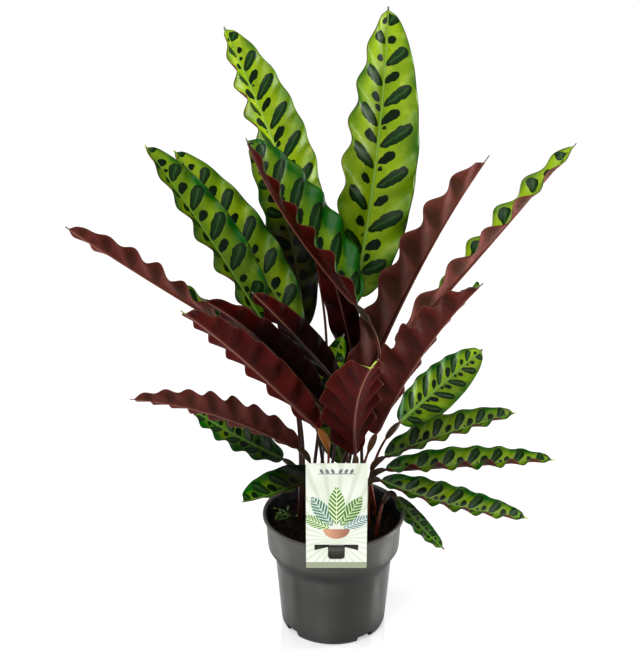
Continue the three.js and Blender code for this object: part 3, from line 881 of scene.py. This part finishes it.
# %% Pot shape
POT_SIDES = 160
POT_PROFILE = [  # radius and height, from the middle of the floor up and back inside
    (0, 0.5), (40, 0.5), (42, 0), (49, 0), (50.4, 1.0), (51.1, 2.5), (52, 5), (54.2, 30),
    (56.2, 55), (57.7, 73), (58.3, 76), (59.4, 78.5), (63.6, 84.6), (64.8, 86.8),
    (65.2, 88.8), (65.8, 99), (66.4, 109), (66.9, 116.6), (67.4, 117.7), (68.6, 118.1),
    (69.5, 118.7), (70, 119.7), (70, 121.6), (69.7, 122.4), (69.0, 122.9), (68.2, 123),
    (67.3, 122.6), (66.4, 121.2), (65.6, 118), (63.8, 89.4), (57.6, 79.4), (56.6, 77.4),
    (50.6, 6.4), (48.6, 2.2), (47, 1.4), (0, 1.4),
]
NOTCH_TURN, NOTCH_COUNT = 37, 4
NOTCH_WIDTH, NOTCH_HEIGHT, NOTCH_INNER = 17, 7, 44


def spun_shell(profile, sides):
    """Spins a profile of points about the Z axis into a closed shell."""
    bm = bmesh.new()
    verts = [bm.verts.new((r * MM, 0, z * MM)) for r, z in profile]
    edges = [bm.edges.new(pair) for pair in zip(verts, verts[1:])]
    bmesh.ops.spin(bm, geom=verts + edges, cent=(0, 0, 0), axis=(0, 0, 1),
                   angle=2 * pi, steps=sides, use_merge=True)
    bmesh.ops.remove_doubles(bm, verts=bm.verts, dist=1e-6)
    bmesh.ops.recalc_face_normals(bm, faces=bm.faces)
    return bm


def cut_notches(pot_mesh):
    """Cuts rounded drainage notches with a Boolean, then reads the mesh back."""
    cutter = bmesh.new()
    for i in range(NOTCH_COUNT):
        reach = 14
        turn = Matrix.Rotation(radians(NOTCH_TURN + i * 360 / NOTCH_COUNT), 4, "Z")
        place = Matrix.Translation((0, -(NOTCH_INNER + reach / 2) * MM, 0))
        size = Matrix.Diagonal((NOTCH_WIDTH * MM, reach * MM, 2 * NOTCH_HEIGHT * MM, 1))
        made = bmesh.ops.create_cube(cutter, size=1, matrix=turn @ place @ size)
        edges = {e for v in made["verts"] for e in v.link_edges}
        bmesh.ops.bevel(cutter, geom=list(edges), offset=1.6 * MM, segments=3,
                        profile=0.5, affect="EDGES", material=-1)
    holder = bpy.data.objects.new("holder", pot_mesh)
    blocks = bpy.data.objects.new("blocks", to_mesh(cutter, "notch_blocks"))
    for o in (holder, blocks):
        scene.collection.objects.link(o)
    cut = holder.modifiers.new("notches", "BOOLEAN")
    cut.operation, cut.solver, cut.object = "DIFFERENCE", "EXACT", blocks
    bpy.context.view_layer.update()
    shaped = holder.evaluated_get(bpy.context.evaluated_depsgraph_get())
    result = bpy.data.meshes.new_from_object(shaped)
    bpy.data.objects.remove(holder)
    bpy.data.objects.remove(blocks)
    return result


pot_mesh = cut_notches(to_mesh(spun_shell(POT_PROFILE, POT_SIDES), "pot_shell"))
print("pot faces:", len(pot_mesh.polygons))

# %% [markdown]
# The plastic is a warm dark grey with a satin skin. Moulding leaves fine rings around
# the wall and handling leaves a few pale scuffs. Towards the rim the wall is painted
# lighter, as painted light; under the band, on the inner wall and towards the foot it
# is painted darker, as painted shade.


# %% Pot plastic
# painted light: the wall grows lighter between these heights towards the rim
TOP_LIGHT_FROM_Z, TOP_LIGHT_TO_Z = 74, 108
FOOT_SHADE_TOP_Z = 34                  # painted shade: the wall is darker from here down to the foot
SHOULDER_SHADE = (70, 78, 84, 94)       # painted shade under the band: starts, full, full, ends
BAND_SLOPE = 0.063                # the rim band widens by this much for each step up
INSIDE_RADII = (59.2, 58.6)       # between the outer and inner wall, less that slope


def make_pot_plastic():
    material, tree, shader = new_material("pot_plastic")
    place = add_node(tree, "TexCoord", out=3)
    clouds = blotches(tree, place, 22, 4.0)
    fine = blotches(tree, place, 1400, 2.0)
    rings = add_node(tree, "Mapping", {"Vector": place, "Scale": (0.4, 0.4, 60.0)})
    rings = blotches(tree, rings, 12, 2.0)
    colour = mix_colour(tree, ramp(tree, clouds, 0.3, 0.7), rgb(30, 29, 25), rgb(37, 36, 31))
    split = tree.nodes.new("ShaderNodeSeparateXYZ")
    tree.links.new(place, split.inputs[0])
    z = split.outputs[2]
    # painted light: the wall grows lighter towards the rim, and a touch rougher
    painted_top_light = ramp(tree, z, TOP_LIGHT_FROM_Z * MM, TOP_LIGHT_TO_Z * MM)
    colour = mix_colour(tree, painted_top_light, colour, rgb(62, 61, 56))
    up, full, last, end = (value * MM for value in SHOULDER_SHADE)
    # painted shade: darker under the band, where the shoulder faces down, and towards the foot
    painted_pot_shade = calc(tree, "MULTIPLY", ramp(tree, z, up, full), ramp(tree, z, end, last))
    painted_pot_shade = calc(tree, "MAXIMUM", painted_pot_shade, ramp(tree, z, FOOT_SHADE_TOP_Z * MM, 0.0))
    colour = mix_colour(tree, calc(tree, "MULTIPLY", painted_pot_shade, 0.75), colour, rgb(18, 17, 15))
    x, y = split.outputs[0], split.outputs[1]
    radius = calc(tree, "SQRT", calc(tree, "ADD", calc(tree, "MULTIPLY", x, x),
                                     calc(tree, "MULTIPLY", y, y)))
    radius = calc(tree, "SUBTRACT", radius, calc(tree, "MULTIPLY", z, BAND_SLOPE))
    # painted shade, near black, on the inner wall and lower shoulder, within the band's slope
    inside = calc(tree, "MULTIPLY", ramp(tree, radius, *[value * MM for value in INSIDE_RADII]),
                  ramp(tree, z, up, end))
    colour = mix_colour(tree, inside, colour, rgb(6, 6, 5))
    stretched = add_node(tree, "Mapping", {"Vector": place, "Rotation": (0.3, 0.9, 0.2),
                                           "Scale": (1.0, 1.0, 9.0)})
    scratches = blotches(tree, stretched, 55, 5.0, 0.6)
    scuffs = calc(tree, "MULTIPLY", ramp(tree, scratches, 0.69, 0.74),
                  ramp(tree, blotches(tree, place, 16, 1.0), 0.56, 0.66))
    colour = mix_colour(tree, calc(tree, "MULTIPLY", scuffs, 0.25), colour, rgb(130, 128, 124))
    put(tree, shader.inputs["Base Color"], colour)
    shine = calc(tree, "ADD", ramp(tree, clouds, 0.3, 0.7, 0.28, 0.36),
                 calc(tree, "MULTIPLY", scuffs, 0.2))
    shine = calc(tree, "ADD", shine, calc(tree, "MULTIPLY", painted_top_light, 0.16))
    shine = calc(tree, "ADD", shine, calc(tree, "MULTIPLY", painted_pot_shade, 0.25))
    put(tree, shader.inputs["Roughness"], shine)
    shader.inputs["Specular IOR Level"].default_value = 0.22
    height = calc(tree, "ADD", calc(tree, "MULTIPLY", rings, 0.6),
                  calc(tree, "MULTIPLY", fine, 0.25))
    put(tree, shader.inputs["Normal"], bump(tree, height, 0.00012, 0.8))
    return material


pot_plastic = make_pot_plastic()
for polygon in pot_mesh.polygons:
    polygon.use_smooth = True
pot_mesh.set_sharp_from_angle(angle=radians(38))
pot_piece = link_piece("nursery_pot", pot_mesh, [pot_plastic], "pot")
print("made", pot_piece.name)

# %% [markdown]
# ## The soil
#
# Potting mix is peat and bark: nearly black, crumbly and uneven. The plug is spun like
# the pot, then its top is pushed up and down by noise. Loose crumbs, small low-poly
# stones of bark and peat, are scattered on it with a seeded draw, so that every run of
# the script gives the same soil.

# %% Soil plug and crumbs
import random

SOIL_PROFILE = [(0, 1.8), (47, 1.8), (50.2, 7), (56.2, 77.8), (63.3, 89.8), (64.3, 106.5)]
SOIL_EDGE, SOIL_EDGE_Z = 64.3, 108
SOIL_RINGS, SOIL_SIDES = 40, 120
CRUMB_COUNT = 950


def soil_height(x, y):
    """Height of the soil's top in millimetres, with lumps of two sizes."""
    radius = sqrt(x * x + y * y)
    dome = SOIL_EDGE_Z + (SOIL_TOP_Z - SOIL_EDGE_Z) * min(1, (SOIL_EDGE - radius) / 26)
    lumps = 1.3 * noise.noise((x / 9, y / 9, 3.0)) + 0.8 * noise.noise((x / 3.2, y / 3.2, 9.0))
    return dome - 0.6 + lumps


def make_soil():
    top = [(SOIL_EDGE * (1 - i / SOIL_RINGS), SOIL_EDGE_Z) for i in range(SOIL_RINGS + 1)]
    bm = spun_shell(SOIL_PROFILE + top, SOIL_SIDES)
    for vert in bm.verts:
        if vert.co.z > 107.5 * MM:
            vert.co.z = soil_height(vert.co.x / MM, vert.co.y / MM) * MM
    draw = random.Random(5)
    for _ in range(CRUMB_COUNT):
        radius = 61.5 * sqrt(draw.random())
        turn = draw.uniform(0, 2 * pi)
        x, y = radius * cos(turn), radius * sin(turn)
        size = draw.choice((0.6, 0.8, 1.0, 1.3, 1.9))
        place = Matrix.Translation(Vector((x, y, soil_height(x, y) + size * 0.25)) * MM)
        spin = Matrix.Rotation(draw.uniform(0, pi), 4, Vector((draw.random(), draw.random(), 1)))
        shape = Matrix.Diagonal((size * MM, size * draw.uniform(0.5, 0.9) * MM,
                                 size * draw.uniform(0.4, 0.8) * MM, 1))
        bmesh.ops.create_icosphere(bm, subdivisions=1, radius=1, matrix=place @ spin @ shape)
    return bm


def make_soil_mix():
    material, tree, shader = new_material("potting_mix")
    place = add_node(tree, "TexCoord", out=3)
    clouds = blotches(tree, place, 110, 3.0)
    grains = add_node(tree, "TexVoronoi", {"Vector": place, "Scale": 420.0}, out=1)
    grey = add_node(tree, "SeparateColor", {"Color": grains})
    colour = mix_colour(tree, ramp(tree, clouds, 0.35, 0.65), rgb(11, 9, 6), rgb(24, 18, 13))
    colour = mix_colour(tree, ramp(tree, grey, 0.8, 1.0, 0.0, 0.5), colour, rgb(62, 44, 30))
    put(tree, shader.inputs["Base Color"], colour)
    shader.inputs["Roughness"].default_value = 0.9
    shader.inputs["Specular IOR Level"].default_value = 0.08
    rough = blotches(tree, place, 700, 4.0, 0.7)
    put(tree, shader.inputs["Normal"], bump(tree, rough, 0.0009, 0.9))
    return material


potting_mix = make_soil_mix()
soil_piece = link_piece("potting_soil", to_mesh(make_soil(), "soil_plug"), [potting_mix],
                        "soil")
print("soil faces:", len(soil_piece.data.polygons))

# %% [markdown]
# ## A little moss
#
# In damp soil a tuft of moss and a seedling soon come up. Each moss leaf is a tiny
# blade of a few faces, drawn from one small grid and turned by a seeded draw.

# %% Moss tuft
MOSS_PLACE = (-51, 12)
MOSS_LEAVES = 64


def make_moss():
    bm = bmesh.new()
    draw = random.Random(21)
    for i in range(MOSS_LEAVES):
        seedling = i % 7 == 0
        spread = 15 if seedling else 11
        x = MOSS_PLACE[0] + draw.gauss(0, 0.42) * spread
        y = MOSS_PLACE[1] + draw.gauss(0, 0.42) * spread * 0.75
        if sqrt(x * x + y * y) > 61:
            continue
        length = draw.uniform(4.0, 6.5) if seedling else draw.uniform(2.0, 4.2)
        width = length * (0.26 if seedling else 0.13)
        made = bmesh.ops.create_grid(bm, x_segments=2, y_segments=4, size=1)
        rise, turn = draw.uniform(0.15, 0.9), draw.uniform(0, 2 * pi)
        lift = draw.uniform(0.5, 4.0) if seedling else 0.3
        for vert in made["verts"]:
            v, p = vert.co.x, (vert.co.y + 1) / 2
            half = width * sin(pi * (0.08 + 0.9 * p)) ** 0.8
            out = length * p
            up = lift + rise * out + 0.18 * length * sin(pi * p) + 0.25 * abs(v) * half
            side = v * half
            vert.co = Vector((x + out * cos(turn) - side * sin(turn),
                              y + out * sin(turn) + side * cos(turn),
                              soil_height(x, y) + up)) * MM
    for face in bm.faces:
        face.smooth = True
    bmesh.ops.solidify(bm, geom=bm.faces[:], thickness=0.15 * MM)
    bmesh.ops.recalc_face_normals(bm, faces=bm.faces)
    return bm


def make_moss_green():
    material, tree, shader = new_material("moss_green")
    place = add_node(tree, "TexCoord", out=3)
    clouds = blotches(tree, place, 260, 2.0)
    colour = mix_colour(tree, ramp(tree, clouds, 0.35, 0.65), rgb(34, 62, 18), rgb(92, 124, 50))
    put(tree, shader.inputs["Base Color"], colour)
    shader.inputs["Roughness"].default_value = 0.55
    return material


moss_piece = link_piece("moss_tuft", to_mesh(make_moss(), "moss_tuft"), [make_moss_green()],
                        None)
print("moss faces:", len(moss_piece.data.polygons))

# %% [markdown]
# ## The label
#
# The label is a coated card with a window cut through it. From the top of the window a
# tongue is bent back over the rim, and the card hangs on it. Its outline and its window
# are two loops of edges. One operator fills the flat between them, and a second gives
# the sheet its thickness.

# %% Label shape
LABEL_MIDDLE, LABEL_HALF = 2.1, 28.7
LABEL_FOOT, LABEL_TOP = 101.2, 212.8
LABEL_BACK_Y, LABEL_THICKNESS = -70.3, 0.7
WINDOW_HALF, WINDOW_TOP, WINDOW_EAR, WINDOW_NECK = 20.7, 126.6, 120.2, 123.6
TONGUE_HALF, TONGUE_FOOT, TONGUE_CORNER = 8, 110.6, 3.5
HOOK_HALF, HOOK_PROFILE = 7, [(-70.65, 127.3), (-67.6, 124.0), (-63.7, 124.0),
                              (-63.7, 113.5), (-64.4, 113.5), (-64.4, 123.3),
                              (-68.4, 123.3), (-70.65, 126.3)]


def rounded_corner(cx, cz, radius, start, steps=6):
    turns = [radians(start + 90 * i / steps) for i in range(steps + 1)]
    return [(cx + radius * cos(a), cz + radius * sin(a)) for a in turns]


def label_outline():
    r = 0.8
    x0, x1 = -LABEL_HALF + r, LABEL_HALF - r
    z0, z1 = LABEL_FOOT + r, LABEL_TOP - r
    return (rounded_corner(x1, z1, r, 0) + rounded_corner(x0, z1, r, 90)
            + rounded_corner(x0, z0, r, 180) + rounded_corner(x1, z0, r, 270))


def window_outline():
    inner = TONGUE_HALF - TONGUE_CORNER
    foot = TONGUE_FOOT + TONGUE_CORNER
    return ([(-WINDOW_HALF, WINDOW_TOP), (-WINDOW_HALF, WINDOW_EAR),
             (-TONGUE_HALF, WINDOW_NECK)]
            + rounded_corner(-inner, foot, TONGUE_CORNER, 180)
            + rounded_corner(inner, foot, TONGUE_CORNER, 270)
            + [(TONGUE_HALF, WINDOW_NECK), (WINDOW_HALF, WINDOW_EAR),
               (WINDOW_HALF, WINDOW_TOP)])


def make_label():
    bm = bmesh.new()
    for loop in (label_outline(), window_outline()):
        verts = [bm.verts.new(Vector((LABEL_MIDDLE + x, LABEL_BACK_Y, z)) * MM)
                 for x, z in loop]
        for a, b in zip(verts, verts[1:] + verts[:1]):
            bm.edges.new((a, b))
    bmesh.ops.triangle_fill(bm, edges=bm.edges[:], use_beauty=True, use_dissolve=False)
    grown = bmesh.ops.extrude_face_region(bm, geom=bm.faces[:])
    front = [e for e in grown["geom"] if isinstance(e, bmesh.types.BMVert)]
    bmesh.ops.translate(bm, vec=(0, -LABEL_THICKNESS * MM, 0), verts=front)
    bmesh.ops.recalc_face_normals(bm, faces=bm.faces)

    left = LABEL_MIDDLE - HOOK_HALF
    side = [bm.verts.new(Vector((left, y, z)) * MM) for y, z in HOOK_PROFILE]
    strip = bm.faces.new(side)
    grown = bmesh.ops.extrude_face_region(bm, geom=[strip])
    far = [e for e in grown["geom"] if isinstance(e, bmesh.types.BMVert)]
    bmesh.ops.translate(bm, vec=(2 * HOOK_HALF * MM, 0, 0), verts=far)
    hook = {f for v in side + far for f in v.link_faces}
    bmesh.ops.recalc_face_normals(bm, faces=list(hook))
    for face in hook:
        face.material_index = 1
    return bm


# %% [markdown]
# ## The print on the label
#
# The print is our own plain design: a fan of broad striped leaves that rise from a clay
# bowl, soft rays behind them, a dark sprig at the top and a grey-green band at the
# foot. It is drawn with masks on the card's own X and Z. A leaf motif is two arcs that
# cross at the ends, and the bowl is the lower half of an ellipse.


# %% Motifs of the print
def card_space(tree):
    place = add_node(tree, "TexCoord", out=3)
    split = tree.nodes.new("ShaderNodeSeparateXYZ")
    tree.links.new(place, split.inputs[0])
    return (calc(tree, "MULTIPLY", split.outputs[0], 1000.0),
            calc(tree, "MULTIPLY", split.outputs[2], 1000.0), split.outputs[1])


def turned(tree, x, z, cx, cz, degrees):
    """x and z about a centre, turned so that the first runs along the motif."""
    dx, dz = calc(tree, "SUBTRACT", x, cx), calc(tree, "SUBTRACT", z, cz)
    c, s = cos(radians(degrees)), sin(radians(degrees))
    along = calc(tree, "ADD", calc(tree, "MULTIPLY", dx, c), calc(tree, "MULTIPLY", dz, s))
    aside = calc(tree, "SUBTRACT", calc(tree, "MULTIPLY", dz, c), calc(tree, "MULTIPLY", dx, s))
    return along, aside


def printed_leaf(tree, x, z, cx, cz, degrees, length, width):
    """Mask of a leaf outline and the light ribs inside it."""
    along, aside = turned(tree, x, z, cx, cz, degrees)
    a = calc(tree, "DIVIDE", along, length / 2)
    room = calc(tree, "SUBTRACT", 1.0, calc(tree, "MULTIPLY", a, a))
    edge = calc(tree, "MULTIPLY", room, width / 2)
    b = calc(tree, "ABSOLUTE", aside)
    mask = ramp(tree, calc(tree, "SUBTRACT", edge, b), -0.1, 0.25)
    ribs = calc(tree, "SUBTRACT", along, calc(tree, "MULTIPLY", b, 1.1))
    ribs = calc(tree, "SINE", calc(tree, "MULTIPLY", ribs, 2 * pi / (length * 0.11)))
    middle = ramp(tree, b, 0.45, 0.1)
    return mask, calc(tree, "MAXIMUM", ramp(tree, ribs, 0.2, 0.8), middle)


def printed_bowl(tree, x, z, cx, cz, half_width, depth):
    """Mask of the lower half of an ellipse, and how far across it a point lies."""
    across = calc(tree, "DIVIDE", calc(tree, "SUBTRACT", x, cx), half_width)
    down = calc(tree, "DIVIDE", calc(tree, "SUBTRACT", cz, z), depth)
    far = calc(tree, "ADD", calc(tree, "MULTIPLY", across, across),
               calc(tree, "MULTIPLY", down, down))
    inside = calc(tree, "MULTIPLY", ramp(tree, far, 1.03, 0.97), ramp(tree, down, -0.01, 0.02))
    return inside, across


# turn from the level, distance of its middle from the bowl, length, width, leaf, rib
FAN_LEAVES = [
    (28, 22, 30, 12, (94, 124, 120), (206, 216, 208)),
    (152, 22, 30, 12, (86, 128, 66), (214, 226, 184)),
    (58, 26, 38, 15, (58, 98, 50), (186, 210, 150)),
    (122, 26, 38, 15, (66, 104, 84), (196, 214, 200)),
    (90, 28, 42, 16, (74, 118, 48), (222, 232, 190)),
]
BOWL = (0, 143.5, 12.5, 10.5)
SPRIG_LEVEL, SPRIG_STEP, SPRIG_PAIRS = 202, 5.2, 3
BAND_TOP = 107.7


def make_label_print():
    material, tree, shader = new_material("label_card")
    x, z, y = card_space(tree)
    shift = calc(tree, "SUBTRACT", x, LABEL_MIDDLE)
    rays = calc(tree, "ARCTAN2", shift, calc(tree, "SUBTRACT", z, BOWL[1] - BOWL[3]))
    rays = calc(tree, "SINE", calc(tree, "MULTIPLY", rays, 30.0))
    wash = blotches(tree, add_node(tree, "TexCoord", out=3), 26, 1.0)
    colour = mix_colour(tree, ramp(tree, wash, 0.35, 0.65), rgb(214, 218, 207),
                        rgb(200, 207, 190))
    colour = mix_colour(tree, ramp(tree, rays, 0.0, 1.0, 0.0, 0.45), colour, rgb(168, 180, 154))

    for turn, away, length, width, leaf, rib in FAN_LEAVES:
        cx = BOWL[0] + away * cos(radians(turn))
        cz = BOWL[1] + away * sin(radians(turn)) - 3
        mask, ribs = printed_leaf(tree, shift, z, cx, cz, turn, length, width)
        inked = mix_colour(tree, ribs, rgb(*leaf), rgb(*rib))
        colour = mix_colour(tree, mask, colour, inked)
    inside, across = printed_bowl(tree, shift, z, *BOWL)
    clay = mix_colour(tree, ramp(tree, across, -1.0, 1.0), rgb(196, 140, 108), rgb(140, 88, 66))
    colour = mix_colour(tree, inside, colour, clay)

    grey, pale_grey = rgb(62, 68, 70), rgb(110, 116, 116)
    for i in range(SPRIG_PAIRS):
        for side in (-1, 1):
            turn, cx = (62, SPRIG_STEP * (i + 0.7)) if side > 0 else (118, -SPRIG_STEP * (i + 0.7))
            mask, ribs = printed_leaf(tree, shift, z, cx, SPRIG_LEVEL + 2.6, turn, 6.4, 3.0)
            colour = mix_colour(tree, mask, colour, mix_colour(tree, ribs, grey, pale_grey))
    stem = calc(tree, "MULTIPLY",
                ramp(tree, calc(tree, "ABSOLUTE", calc(tree, "SUBTRACT", z, SPRIG_LEVEL)),
                     0.45, 0.25),
                ramp(tree, calc(tree, "ABSOLUTE", shift), 17.2, 16.8))
    colour = mix_colour(tree, stem, colour, grey)
    colour = mix_colour(tree, ramp(tree, z, BAND_TOP + 0.1, BAND_TOP - 0.1), colour,
                        rgb(140, 146, 120))
    put(tree, shader.inputs["Base Color"], colour)
    shader.inputs["Roughness"].default_value = 0.32
    shader.inputs["Specular IOR Level"].default_value = 0.4
    fibres = blotches(tree, add_node(tree, "TexCoord", out=3), 1500, 2.0)
    put(tree, shader.inputs["Normal"], bump(tree, fibres, 0.00003, 0.5))
    return material


# painted shade: the back of the card and the hook are a dark grey, so the window shows dark where
# the hook lies
def make_label_back():
    material, tree, shader = new_material("label_back")
    fibres = blotches(tree, add_node(tree, "TexCoord", out=3), 900, 3.0)
    colour = mix_colour(tree, ramp(tree, fibres, 0.3, 0.7), rgb(66, 68, 66), rgb(84, 86, 82))
    put(tree, shader.inputs["Base Color"], colour)
    shader.inputs["Roughness"].default_value = 0.5
    return material


label_piece = link_piece("hanging_label", to_mesh(make_label(), "hanging_label"),
                         [make_label_print(), make_label_back()], "label")
print("label faces:", len(label_piece.data.polygons))

# %% [markdown]
# ## Floor and light
#
# The plant stands on a plain white floor, as in a studio. The floor is slightly glossy,
# so it carries a faint reflection of the pot, and it glows a little, as a lit table
# does, so that it stays white out to the horizon. A sun with a very wide disc acts as a
# soft lamp that lights the whole floor alike. A nearer lamp draws the gloss on the
# leaves, two tall strips at the sides draw the bright edges of the pot, and a white
# sky opens the shadows.


# %% Floor
def make_floor():
    bm = bmesh.new()
    bmesh.ops.create_grid(bm, x_segments=1, y_segments=1, size=20)
    floor = bpy.data.objects.new("studio_floor", to_mesh(bm, "studio_floor"))
    scene.collection.objects.link(floor)
    material, tree, shader = new_material("studio_floor")
    shader.inputs["Base Color"].default_value = (0.93, 0.93, 0.93, 1)
    shader.inputs["Roughness"].default_value = 0.1
    shader.inputs["Metallic"].default_value = 0.5
    shader.inputs["Emission Color"].default_value = (1, 1, 1, 1)
    shader.inputs["Emission Strength"].default_value = 0.4
    floor.data.materials.append(material)
    return floor


make_floor()

world = bpy.data.worlds.new("white_studio")
world.use_nodes = True
sky = world.node_tree.nodes["Background"]
sky.inputs["Color"].default_value = (1, 1, 1, 1)
sky.inputs["Strength"].default_value = 0.45
scene.world = world
scene.view_settings.view_transform = "Standard"
print("sky strength:", sky.inputs["Strength"].default_value)


# %% Lamps
LAMP_AIM = Vector((0, 0, 0.3))


def add_light(name, kind, place, power):
    data = bpy.data.lights.new(name, kind)
    data.energy = power
    lamp = bpy.data.objects.new(name, data)
    lamp.location = place
    lamp.rotation_euler = (LAMP_AIM - Vector(place)).to_track_quat("-Z", "Y").to_euler()
    scene.collection.objects.link(lamp)
    return lamp


sun = add_light("soft_sun", "SUN", (-0.9, -1.4, 2.8), 2.3)
sun.data.angle = radians(60)
key = add_light("key_lamp", "AREA", (-0.7, -1.2, 2.0), 8)
key.data.shape, key.data.size = "DISK", 0.5
lamps = [sun, key]
for side, name, power in ((-1, "left_strip", 7), (1, "right_strip", 15)):
    strip = add_light(name, "AREA", (0.9 * side, 0.1, 0.2), power)
    strip.data.shape, strip.data.size, strip.data.size_y = "RECTANGLE", 0.25, 0.8
    strip.visible_camera = False
    lamps.append(strip)
print("lamps:", ", ".join(lamp.name for lamp in lamps))
